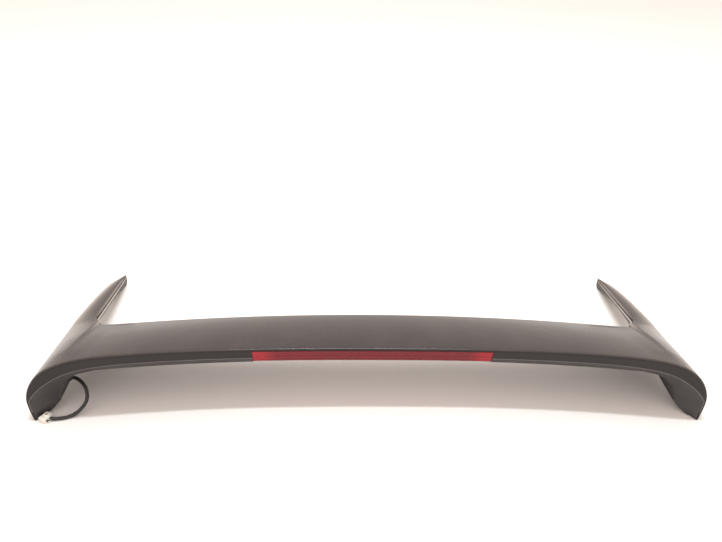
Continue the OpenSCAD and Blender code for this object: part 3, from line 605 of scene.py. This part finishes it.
# The sections of one half, from the middle of the blade to the foot of the fin
half = ([(LAMP_X * k / 12, 0.0) for k in range(12)]
        + [(lerp(LAMP_X, ROOT_X - 4 * CORNER_W, k / 15), 0.0) for k in range(15)]
        + [(ROOT_X - CORNER_W * (4 - k / 4), 0.0) for k in range(16)]
        + [(ROOT_X, 3.0 * k) for k in range(31)]
        + [(ROOT_X, 90 + 5.0 * k) for k in range(1, 13)])
sections = [(x, f, -1) for x, f in reversed(half[1:])] + [(x, f, 1) for x, f in half]
BAND_ROWS, ARC_ROWS, TOP_ROWS, ARM_ROWS = 5, 7, 18, 40
root_row = BAND_ROWS + ARC_ROWS + TOP_ROWS - 1


def skin_column(x, f):
    """The points of one section, from the lower edge of the band to the leading edge
    or the arm's tip."""
    w = band_w(x, f)
    r = EDGE_R * w / BAND_H
    column = [band_at(x, f, lerp(w, 1.1 * r, k / BAND_ROWS)) for k in range(BAND_ROWS)]
    start, middle, end = band_at(x, f, r), crest(x, f), top_at(x, f, r / CHORD)
    for k in range(ARC_ROWS):
        t = k / (ARC_ROWS - 1)
        weights = ((1 - t) ** 2, 2 * t * (1 - t) * 0.7071, t * t)
        column.append((start * weights[0] + middle * weights[1] + end * weights[2]) / sum(weights))
    for k in range(1, TOP_ROWS + 1):
        column.append(top_at(x, f, lerp(r / CHORD, 1, k / TOP_ROWS)))
    if x >= ROOT_X - 1e-9:
        for k in range(1, ARM_ROWS + 1):
            s = k / ARM_ROWS
            column.append(arm_at(f, s if s < 0.9 else 0.9 + 0.1 * (1 - (1 - (s - 0.9) * 10) ** 1.2)))
    return column


grid = [[Vector((p.x * side, p.y, p.z)) for p in skin_column(x, f)]
        for x, f, side in sections]
# The foot of the fin stands on its outer edge, with its inner edge just clear
FOOT_RISE = 0.46 * MM
for column, (x, f, side) in zip(grid, sections):
    for p in column:
        p.z += FOOT_RISE * max(0.0, (f - 130) / 20) * max(0.0, 1 - p.z / (3 * MM))
# The blade turns into the shoulder on one smooth curve, and runs on into the arm
SOFT_IN, SOFT_OUT = 45 * MM, 45.0
window = [i for i, (x, f, side) in enumerate(sections) if x > ROOT_X - SOFT_IN and f < SOFT_OUT]
for run_of in ([i for i in window if sections[i][2] < 0],
               [i for i in window if sections[i][2] > 0]):
    first, last = run_of[0] - 1, run_of[-1] + 1
    for j in range(BAND_ROWS + ARC_ROWS, root_row + 1):
        ends = [grid[i][j] for i in (first - 1, first, last, last + 1)]
        width = ends[2].x - ends[1].x
        slope_in = (ends[1].z - ends[0].z) / (ends[1].x - ends[0].x) * width
        slope_out = (ends[3].z - ends[2].z) / (ends[3].x - ends[2].x) * width
        share = min(1.0, (j - BAND_ROWS - ARC_ROWS + 1) / 4)
        for i in run_of:
            t = (grid[i][j].x - ends[1].x) / width
            curve = ((2 * t ** 3 - 3 * t ** 2 + 1) * ends[1].z + (t ** 3 - 2 * t ** 2 + t) * slope_in
                     + (3 * t ** 2 - 2 * t ** 3) * ends[2].z + (t ** 3 - t ** 2) * slope_out)
            grid[i][j].z = lerp(grid[i][j].z, curve, share)
EASINGS, EASED_ROWS = 40, 8
for column in grid:
    for _ in range(EASINGS if len(column) > root_row + 1 else 0):
        heights = [p.z for p in column]
        for j in range(root_row - EASED_ROWS, root_row + EASED_ROWS + 1):
            a, b, c = column[j - 1], column[j], column[j + 1]
            t = (b.y - a.y) / (c.y - a.y) if c.y != a.y else 0.5
            share = 0.5 * math.cos(math.pi / 2 * abs(j - root_row) / (EASED_ROWS + 1)) ** 2
            b.z = lerp(heights[j], lerp(heights[j - 1], heights[j + 1], t), share)
verts, index, faces = [], {}, []
for i, column in enumerate(grid):
    for j, p in enumerate(column):
        index[i, j] = len(verts)
        verts.append(p)
# The band is left open where the lamp sits in it
for i in range(len(grid) - 1):
    for j in range(min(len(grid[i]), len(grid[i + 1])) - 1):
        (x, _, side), (next_x, _, next_side) = sections[i], sections[i + 1]
        if j < BAND_ROWS and abs(x * side + next_x * next_side) / 2 < LAMP_X:
            continue
        faces.append((index[i, j], index[i + 1, j], index[i + 1, j + 1], index[i, j + 1]))
used = sorted({v for face in faces for v in face})
renumber = {v: k for k, v in enumerate(used)}
skin = put("painted_skin", [verts[v] for v in used],
           [tuple(renumber[v] for v in face) for face in faces], 45)
# The wall is 3 mm, and thins with the arm towards its tip and its rolled edge
wall_share = skin.vertex_groups.new(name="wall")
for (i, j), v in index.items():
    if v in renumber:
        share = 1.0
        if j > root_row:
            t = (grid[i][j].y - ROOT_Y) / (TIP_Y - ROOT_Y)
            width = arm_out_x(t) - arm_in_x(t)
            share = min(1.0, 0.3 * width / SKIN_T)
            inward = (abs(grid[i][j].x) - arm_in_x(t)) / ROLL_W
            share *= 1 - 0.5 * max(0, 1 - inward) ** 2 * min(1, t / ROLL_FROM)
        wall_share.add([renumber[v]], share, "REPLACE")
wall = skin.modifiers.new("wall", "SOLIDIFY")
wall.thickness = SKIN_T
wall.offset = -1
wall.vertex_group = "wall"
wall.thickness_vertex_group = 0.05
EDGE_BREAK = 0.45 * MM
edge = skin.modifiers.new("broken_edge", "BEVEL")
edge.width = EDGE_BREAK
edge.segments = 2
edge.limit_method = "ANGLE"
edge.angle_limit = math.radians(50)
edge.harden_normals = True

# Painted sheen: the paint is painted paler where the shoulders and arms turn outwards
# and up, and more so on the arms; it stands in for the bright surroundings they reflect.
painted_sheen_group, f_in, f_out = effect_group("painted_sheen", [("Amount", 0.5)], ["Mask"])
f_normal = painted_sheen_group.nodes.new("ShaderNodeNewGeometry")
f_split = painted_sheen_group.nodes.new("ShaderNodeSeparateXYZ")
f_side = add_node(painted_sheen_group, "ShaderNodeMath", {"operation": "ABSOLUTE"})
f_out_turn = add_node(painted_sheen_group, "ShaderNodeMapRange", {"interpolation_type": "SMOOTHSTEP"},
                      From_Min=0.06, From_Max=0.42)
f_up_turn = add_node(painted_sheen_group, "ShaderNodeMapRange", {"interpolation_type": "SMOOTHSTEP"},
                     From_Min=-0.1, From_Max=0.35)
f_place = painted_sheen_group.nodes.new("ShaderNodeTexCoord")
f_patch = add_node(painted_sheen_group, "ShaderNodeTexNoise", Scale=22.0, Detail=6.0, Roughness=0.7)
f_spread = add_node(painted_sheen_group, "ShaderNodeMapRange", From_Min=0.3, From_Max=0.7, To_Min=0.7, To_Max=1.0)
f_where = painted_sheen_group.nodes.new("ShaderNodeSeparateXYZ")
f_ahead = add_node(painted_sheen_group, "ShaderNodeMapRange",
                   From_Min=-0.12, From_Max=0.08, To_Min=0.05, To_Max=1.0)
f_steps = [add_node(painted_sheen_group, "ShaderNodeMath", {"operation": "MULTIPLY"}) for _ in range(4)]
for pair in (
        (f_normal.outputs["Normal"], f_split.inputs[0]),
        (f_split.outputs["X"], f_side.inputs[0]),
        (f_side.outputs[0], f_out_turn.inputs["Value"]),
        (f_split.outputs["Z"], f_up_turn.inputs["Value"]),
        (f_place.outputs["Object"], f_patch.inputs["Vector"]),
        (f_patch.outputs["Fac"], f_spread.inputs["Value"]),
        (f_out_turn.outputs["Result"], f_steps[0].inputs[0]),
        (f_up_turn.outputs["Result"], f_steps[0].inputs[1]),
        (f_steps[0].outputs[0], f_steps[1].inputs[0]),
        (f_spread.outputs["Result"], f_steps[1].inputs[1]),
        (f_place.outputs["Object"], f_where.inputs[0]),
        (f_where.outputs["Y"], f_ahead.inputs["Value"]),
        (f_steps[1].outputs[0], f_steps[2].inputs[0]),
        (f_ahead.outputs["Result"], f_steps[2].inputs[1]),
        (f_steps[2].outputs[0], f_steps[3].inputs[0]),
        (f_in.outputs["Amount"], f_steps[3].inputs[1]),
        (f_steps[3].outputs[0], f_out.inputs["Mask"])):
    painted_sheen_group.links.new(*pair)

paint, paint_shader = new_material("dark_gloss_paint", (0.016, 0.013, 0.013), 0.25)
tree = paint.node_tree
flop = use_group(paint, grain, Scale=2600.0, Cloud_Scale=5.0)
tone = add_node(tree, "ShaderNodeMix", {"data_type": "RGBA"})
tone.inputs[6].default_value = (0.010, 0.0075, 0.0078, 1)
tone.inputs[7].default_value = (0.016, 0.012, 0.012, 1)
tree.links.new(flop.outputs["Cloud"], tone.inputs[0])
# Pale film where the paint faces up: dust, and painted light on the upper faces.
dust_and_light_mask = use_group(paint, dust_and_light, Amount=0.11, Scale=14.0)
dust_and_light_mixed = add_node(tree, "ShaderNodeMix", {"data_type": "RGBA"})
dust_and_light_mixed.inputs[7].default_value = (0.30, 0.25, 0.225, 1)
tree.links.new(dust_and_light_mask.outputs["Mask"], dust_and_light_mixed.inputs[0])
tree.links.new(tone.outputs[2], dust_and_light_mixed.inputs[6])
# Painted sheen: paler paint where the faces turn outwards and up, for the reflected bright
# surroundings.
painted_sheen_mask = use_group(paint, painted_sheen_group, Amount=1.0)
painted_sheen_tone = add_node(tree, "ShaderNodeMix", {"data_type": "RGBA"})
painted_sheen_tone.inputs[7].default_value = (0.42, 0.36, 0.32, 1)
tree.links.new(painted_sheen_mask.outputs["Mask"], painted_sheen_tone.inputs[0])
tree.links.new(dust_and_light_mixed.outputs[2], painted_sheen_tone.inputs[6])
tree.links.new(painted_sheen_tone.outputs[2], paint_shader.inputs["Base Color"])
# Fine wiping marks run across the car, along the blade
marks_place = add_node(tree, "ShaderNodeTexCoord")
marks_turn = add_node(tree, "ShaderNodeMapping")
marks_turn.inputs["Scale"].default_value = (6, 160, 160)
marks = add_node(tree, "ShaderNodeTexNoise", Scale=1.0, Detail=4.0)
tree.links.new(marks_place.outputs["Object"], marks_turn.inputs["Vector"])
tree.links.new(marks_turn.outputs["Vector"], marks.inputs["Vector"])
marked = add_node(tree, "ShaderNodeMapRange", From_Min=0.35, From_Max=0.7, To_Min=0.0, To_Max=0.015)
tree.links.new(marks.outputs["Fac"], marked.inputs["Value"])
film_rough = add_node(tree, "ShaderNodeMath", {"operation": "MULTIPLY_ADD"})
film_rough.inputs[1].default_value = 0.7
film_rough.inputs[2].default_value = 0.20
tree.links.new(dust_and_light_mask.outputs["Mask"], film_rough.inputs[0])
rough = add_node(tree, "ShaderNodeMath", {"operation": "ADD"})
tree.links.new(film_rough.outputs[0], rough.inputs[0])
tree.links.new(marked.outputs["Result"], rough.inputs[1])
tree.links.new(rough.outputs[0], paint_shader.inputs["Roughness"])
peel = add_node(tree, "ShaderNodeTexNoise", Scale=260.0, Detail=1.0)
tree.links.new(marks_place.outputs["Object"], peel.inputs["Vector"])
peel_bump = add_node(tree, "ShaderNodeBump", Strength=0.005, Distance=0.0006)
tree.links.new(peel.outputs["Fac"], peel_bump.inputs["Height"])
tree.links.new(peel_bump.outputs["Normal"], paint_shader.inputs["Normal"])
paint_shader.inputs["Specular IOR Level"].default_value = 0.24
paint_shader.inputs["Coat Weight"].default_value = 0.2
paint_shader.inputs["Coat Roughness"].default_value = 0.05
skin.data.materials.append(paint)
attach(skin, "root")
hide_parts("outer_skin")


def loose_parts(name):
    """The lowest and highest corners of each separate solid in a carried-over node."""
    bm = bmesh.new()
    bm.from_mesh(NODES[name].data)
    bmesh.ops.remove_doubles(bm, verts=bm.verts, dist=0.001 * MM)
    todo, found = set(bm.verts), []
    while todo:
        group, edge_of = [], [todo.pop()]
        while edge_of:
            v = edge_of.pop()
            group.append(v.co.copy())
            for e in v.link_edges:
                other = e.other_vert(v)
                if other in todo:
                    todo.discard(other)
                    edge_of.append(other)
        found.append((Vector([min(p[n] for p in group) for n in range(3)]),
                      Vector([max(p[n] for p in group) for n in range(3)])))
    bm.free()
    return sorted(found, key=lambda pair: (round(pair[0].x, 5), pair[0].y))


def lathe(name, profile, at, sides=32, smooth_deg=35):
    """A closed solid turned about the vertical through at; profile is (radius, height)
    pairs, closed on the axis or round a bore."""
    bored = min(r for r, z in profile) > 0
    verts, faces = [], []
    for m in range(sides):
        a = 2 * math.pi * m / sides
        verts += [at + Vector((r * math.cos(a), r * math.sin(a), z)) for r, z in profile]
    n = len(profile)
    for m in range(sides):
        for k in range(n if bored else n - 1):
            j = (k + 1) % n
            faces.append((m * n + k, ((m + 1) % sides) * n + k, ((m + 1) % sides) * n + j, m * n + j))
    obj = put(name, verts, faces, smooth_deg)
    bm = bmesh.new()
    bm.from_mesh(obj.data)
    bmesh.ops.remove_doubles(bm, verts=bm.verts, dist=0.0005 * MM)
    bmesh.ops.dissolve_degenerate(bm, edges=bm.edges, dist=0.0005 * MM)
    bmesh.ops.recalc_face_normals(bm, faces=bm.faces)
    bm.to_mesh(obj.data)
    bm.free()
    return obj


# Bosses: round posts with a bore, moulded with the skin on its underside. There is
# one over each screw of the lower shell, and it stops just above the shell.
BOSS_R, BORE_R = 4.2 * MM, 1.6 * MM
HEAD_H, HEAD_SINK, BOSS_LIFT = 2.4 * MM, 0.35 * MM, 3.15 * MM
screw_places = loose_parts("shell_screws")
bosses = []
for low, high in screw_places:
    x, y = (low.x + high.x) / 2, (low.y + high.y) / 2
    near = (abs(x), 0.0)
    t = (y - crest_y(x)) / (front(*near).y - crest_y(x))
    roof, foot = top_at(*near, t).z - 1.2 * MM, low.z + HEAD_H - HEAD_SINK + BOSS_LIFT
    bosses.append(lathe("boss", [(BORE_R, foot), (BOSS_R, foot), (BOSS_R, roof), (BORE_R, roof)],
                        Vector((x, y, 0)), 28))
boss_row = merged("skin_bosses", bosses)
boss_row.data.materials.append(paint)
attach(boss_row, "root")

# Lower shell and arm bases: dark unpainted mouldings in satin plastic, pushed up into
# the skin and held by screws and by the tape. Where they face up they carry a pale film
# of dust and painted light; on the ledges of the arm bases it is a painted highlight.
shell_mat, _ = moulded("dark_moulding", (0.026, 0.023, 0.023), (0.042, 0.038, 0.037),
                       0.40, 900.0, 0.08, dust_and_light_amount=0.35)
dress("lower_shell", shell_mat)
smooth_facets("lower_shell")
# The arm bases are painted pale where they face up: a painted highlight along the ledge tops.
base_mat, _ = moulded("painted_ledge_light_moulding", (0.030, 0.027, 0.026), (0.050, 0.045, 0.043),
                      0.48, 900.0, 0.10, dust_and_light_amount=0.9, dust_and_light_tone=(0.46, 0.42, 0.38))
for name in ("arm_base_left", "arm_base_right"):
    dress(name, base_mat)
    smooth_facets(name)

# Seam bead: a thin pale bead run into the joint between the band and the lower shell
# from the lamp to the fin on each side; its pale colour is a painted highlight along the seam.
BEAD_R, BEAD_OUT, BEAD_END = 0.45 * MM, 0.12 * MM, 125
beads = []
for side in (-1, 1):
    line = [band_at(x, f, band_w(x, f)) for x, f in half if x >= LAMP_X and f <= BEAD_END]
    line = [Vector((p.x * side, p.y - BEAD_OUT, p.z)) for p in line]
    beads.append(tube("bead", line, lambda k: BEAD_R, 10))
bead = merged("seam_bead", beads)
seam_highlight_mat, _ = moulded("painted_seam_highlight", (0.15, 0.135, 0.14), (0.26, 0.235, 0.24),
                      0.5, 1500.0, 0.2, dust_and_light_amount=0.25)
bead.data.materials.append(seam_highlight_mat)
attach(bead, "root")

# Glass seal: an extruded lip of the same black rubber as the bush, bonded under the
# leading edge, where it closes the gap to the rear glass.
dress("glass_seal", rubber_mat)
smooth_facets("glass_seal")

# Tape: grey double-sided foam tape, cut in strips and stuck under the arms. It holds
# them down between the clips.
tape_mat, _ = moulded("grey_foam", (0.10, 0.10, 0.105), (0.15, 0.15, 0.155), 0.85, 1500.0, 0.5)
dress("arm_tape", tape_mat)
smooth_facets("arm_tape")

# Brake lamp lens: injection-moulded red acrylic, with two rows of upright flutes
# parted by a step, a plain lower edge, and a flange that clips over the housing.
LIP_H = 14 * MM
LENS_END = LAMP_X - 0.3 * MM
lens_top, lens_low = 1.15 * EDGE_R + 0.3 * MM, BAND_H + LIP_H + 0.6 * MM
# Its section, in mm: how far ahead of the trailing edge and how far below it
high_mm, low_mm = lens_top / MM, lens_low / MM
outer_marks = [(0.5, high_mm), (1.5, 12), (3.3, 20), (6, 27.5), (9, low_mm - 2.2),
               (12.5, low_mm - 0.4), (18, low_mm)]
inner_marks = [(18, low_mm - 2.4), (13.2, low_mm - 2.9), (10.6, low_mm - 4.4),
               (8.3, 26.4), (5.7, 19.3), (3.9, 11.6), (2.9, high_mm)]
FLUTE_PITCH, FLUTE_DEEP = 4.0 * MM, 0.45 * MM
STEP_AT, STEP_W, STEP_DEEP = 17.0 * MM, 1.0 * MM, 0.9 * MM
ROWS = ((6.5 * MM, 15.6 * MM), (18.4 * MM, 28.5 * MM))
ROW_FADE, FLUTED_TO = 1.2 * MM, 9 * MM
outer_line = spline_points([Vector((d, z, 0)) * MM for d, z in outer_marks], 10)
inner_line = spline_points([Vector((d, z, 0)) * MM for d, z in inner_marks], 4)
FLUTE_SIDES = 6
flutes = int(2 * LENS_END / FLUTE_PITCH)
verts, faces = [], []
columns = flutes * FLUTE_SIDES + 1
for c in range(columns):
    x = -LENS_END + 2 * LENS_END * c / (columns - 1)
    ridge = abs(math.sin(math.pi * c / FLUTE_SIDES))
    for d, drop, _ in outer_line:
        cut = STEP_DEEP * max(0.0, 1 - ((drop - STEP_AT) / STEP_W) ** 2)
        for low_end, high_end in ROWS:
            share = min(1.0, max(0.0, min(drop - low_end, high_end - drop) / ROW_FADE))
            if d < FLUTED_TO:
                cut += FLUTE_DEEP * (1 - ridge) * share
        verts.append(Vector((x, crest_y(x) + d + cut, crest_z(x) - drop)))
    for d, drop, _ in inner_line:
        verts.append(Vector((x, crest_y(x) + d, crest_z(x) - drop)))
ring = len(outer_line) + len(inner_line)
for c in range(columns - 1):
    for k in range(ring):
        n = (k + 1) % ring
        faces.append((c * ring + k, c * ring + n, (c + 1) * ring + n, (c + 1) * ring + k))
faces.append(tuple(range(ring - 1, -1, -1)))
faces.append(tuple((columns - 1) * ring + k for k in range(ring)))
lens = put("fluted_lens", verts, faces, 50)
lens_mat, lens_shader = moulded("red_acrylic", (0.17, 0.004, 0.010), (0.25, 0.006, 0.014),
                                0.14, 200.0, 0.02, rough_spread=0.06)
# Painted highlight: the lens is painted a brighter red towards its two ends, for the light that comes
# back off the reflector bowls.
lens_tree = lens_mat.node_tree
end_place = add_node(lens_tree, "ShaderNodeTexCoord")
end_split = add_node(lens_tree, "ShaderNodeSeparateXYZ")
end_side = add_node(lens_tree, "ShaderNodeMath", {"operation": "ABSOLUTE"})
end_highlight = add_node(lens_tree, "ShaderNodeMapRange", {"interpolation_type": "SMOOTHSTEP"},
                From_Min=0.165, From_Max=0.200)
end_highlight_red = add_node(lens_tree, "ShaderNodeMix", {"data_type": "RGBA"})
end_highlight_red.inputs[7].default_value = (0.42, 0.012, 0.028, 1)
plain_red = lens_shader.inputs["Base Color"].links[0].from_socket
for pair in (
        (end_place.outputs["Object"], end_split.inputs[0]),
        (end_split.outputs["X"], end_side.inputs[0]),
        (end_side.outputs[0], end_highlight.inputs["Value"]),
        (end_highlight.outputs["Result"], end_highlight_red.inputs[0]),
        (plain_red, end_highlight_red.inputs[6]),
        (end_highlight_red.outputs[2], lens_shader.inputs["Base Color"])):
    lens_tree.links.new(*pair)
lens_shader.inputs["Specular IOR Level"].default_value = 0.3
lens_shader.inputs["Transmission Weight"].default_value = 0.2
lens_shader.inputs["IOR"].default_value = 1.49
lens.data.materials.append(lens_mat)
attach(lens, "root")
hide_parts("lamp_lens")

# Lamp housing, its coated reflector, the board with its emitters, the foam gasket and
# the plug on its back; and, in the same plastics and foams, the wires inside the
# blade with their clips, the foam washers and the push-in clips of the arms.
housing_mat, _ = moulded("black_housing", (0.018, 0.018, 0.019), (0.03, 0.03, 0.031),
                         0.45, 900.0, 0.08)
mirror_mat, _ = moulded("reflector_coat", (0.78, 0.77, 0.75), (0.85, 0.84, 0.82),
                        0.18, 300.0, 0.02, 1.0)
board_mat, _ = moulded("circuit_board", (0.015, 0.10, 0.04), (0.03, 0.15, 0.06), 0.35, 1200.0, 0.1)
led_mat, _ = moulded("led_resin", (0.78, 0.74, 0.48), (0.88, 0.84, 0.6), 0.22, 900.0, 0.02)
foam_mat, _ = moulded("black_foam", (0.02, 0.02, 0.02), (0.04, 0.039, 0.038), 0.9, 1300.0, 0.6)
for name, mat in (("lamp_housing", housing_mat), ("lamp_reflector", mirror_mat),
                  ("led_board", board_mat), ("leds", led_mat),
                  ("lamp_gasket", foam_mat), ("lamp_plug", white_nylon),
                  ("inner_harness", core_mat), ("harness_clips", housing_mat),
                  ("stud_seals", foam_mat), ("clip_seals", foam_mat), ("arm_clips", white_nylon)):
    dress(name, mat)
    if name not in ("leds", "lamp_plug"):
        smooth_facets(name)

# Screws: black zinc-plated, with a pan head and a cross recess, up into the bosses of
# the skin and through the lugs of the lamp.
SHANK_R = 1.5 * MM
RECESS_W, RECESS_L, RECESS_DEEP = 0.9 * MM, 4.2 * MM, 1.2 * MM
black_zinc, _ = moulded("black_zinc", (0.05, 0.05, 0.052), (0.09, 0.088, 0.085), 0.36, 500.0, 0.06, 1.0)
for name in ("shell_screws", "lamp_screws"):
    heads = []
    for low, high in loose_parts(name):
        at = Vector(((low.x + high.x) / 2, (low.y + high.y) / 2, low.z))
        head_r, top = (high.x - low.x) / 2, high.z - low.z
        profile = [(0.0, 0.0), (head_r * 0.55, 0.02 * MM), (head_r * 0.8, 0.2 * MM),
                   (head_r * 0.96, 0.8 * MM), (head_r, 1.1 * MM), (head_r, HEAD_H),
                   (SHANK_R, HEAD_H), (SHANK_R, top), (0.0, top)]
        head = lathe("head", profile, at)
        recess = [block("recess", at + Vector((-a / 2, -b / 2, -1 * MM)),
                        at + Vector((a / 2, b / 2, RECESS_DEEP)))
                  for a, b in ((RECESS_W, RECESS_L), (RECESS_L, RECESS_W))]
        heads.append(shaped(head, recess))
    row = merged(name.replace("screws", "screw_row"), heads)
    row.data.materials.clear()
    row.data.materials.append(black_zinc)
    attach(row, "root")
    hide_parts(name)

# Studs: zinc-plated steel, welded to a plate inside the lower shell; each has a rolled
# thread below the foam washer.
zinc_mat, _ = moulded("zinc_plate", (0.50, 0.50, 0.49), (0.64, 0.62, 0.57), 0.34, 400.0, 0.05, 1.0)
dress("mounting_studs", zinc_mat)
smooth_facets("mounting_studs")
THREAD_R, THREAD_PITCH, THREAD_L, THREAD_RISE = 3.0 * MM, 1.0 * MM, 13.5 * MM, 0.36 * MM
THREAD_ROOT_R, THREAD_HALF = THREAD_R - 0.1 * MM, 0.42 * MM
seal_places = loose_parts("stud_seals")
coils = []
for low, high in loose_parts("mounting_studs"):
    middle = (low + high) / 2
    washer = min(seal_places, key=lambda pair: ((pair[0] + pair[1]) / 2 - middle).length)
    axis = (washer[0] + washer[1]) / 2
    turns, around = int(THREAD_L / THREAD_PITCH), 24
    verts, faces = [], []
    for k in range(turns * around + 1):
        a = 2 * math.pi * k / around
        z = low.z + 0.6 * MM + THREAD_PITCH * k / around
        rise = THREAD_RISE * min(1, k / around, (turns * around - k) / around) + 0.01 * MM
        for r, dz in ((THREAD_ROOT_R, -THREAD_HALF), (THREAD_R + rise, 0.0),
                      (THREAD_ROOT_R, THREAD_HALF)):
            verts.append(Vector((axis.x + r * math.cos(a), axis.y + r * math.sin(a), z + dz)))
    for k in range(turns * around):
        for m in range(3):
            n = (m + 1) % 3
            faces.append((3 * k + m, 3 * k + n, 3 * k + 3 + n, 3 * k + 3 + m))
    faces += [(2, 1, 0), tuple(3 * turns * around + m for m in range(3))]
    coils.append(put("thread", verts, faces, 20))
threads = merged("stud_threads", coils)
threads.data.materials.append(zinc_mat)
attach(threads, "root")

# Surroundings: a plain pale floor, a long lamp overhead, a broad soft one further
# ahead, and even pale light from all round.
FLOOR_HALF = 30
floor = put("floor", [(x * FLOOR_HALF, y * FLOOR_HALF, 0)
                      for x, y in ((-1, -1), (1, -1), (1, 1), (-1, 1))], [(0, 1, 2, 3)])
floor_mat, _ = new_material("pale_floor", (0.90, 0.875, 0.85), 0.6)
floor.data.materials.append(floor_mat)


def area_light(name, at, aim, size, watts, color):
    """A rectangular soft lamp at a place, turned to face another."""
    lamp = bpy.data.lights.new(name, "AREA")
    lamp.shape = "RECTANGLE"
    lamp.size, lamp.size_y = size
    lamp.energy = watts
    lamp.color = color
    obj = bpy.data.objects.new(name, lamp)
    obj.location = at
    obj.rotation_euler = (Vector(aim) - Vector(at)).to_track_quat("-Z", "Y").to_euler()
    bpy.context.scene.collection.objects.link(obj)


area_light("overhead", (0, 0.3, 3.5), (0, 0, 0), (1.6, 0.16), 62, (0.90, 0.98, 1.0))
area_light("behind", (0, 1.5, 3.4), (0, 0, 0), (1.8, 1.5), 28, (1.0, 0.97, 0.93))
world = bpy.data.worlds.new("studio")
bpy.context.scene.world = world
world.use_nodes = True
world.node_tree.nodes["Background"].inputs["Color"].default_value = (1.0, 0.89, 0.83, 1)
world.node_tree.nodes["Background"].inputs["Strength"].default_value = 1.12
bpy.context.scene.view_settings.view_transform = "Standard"
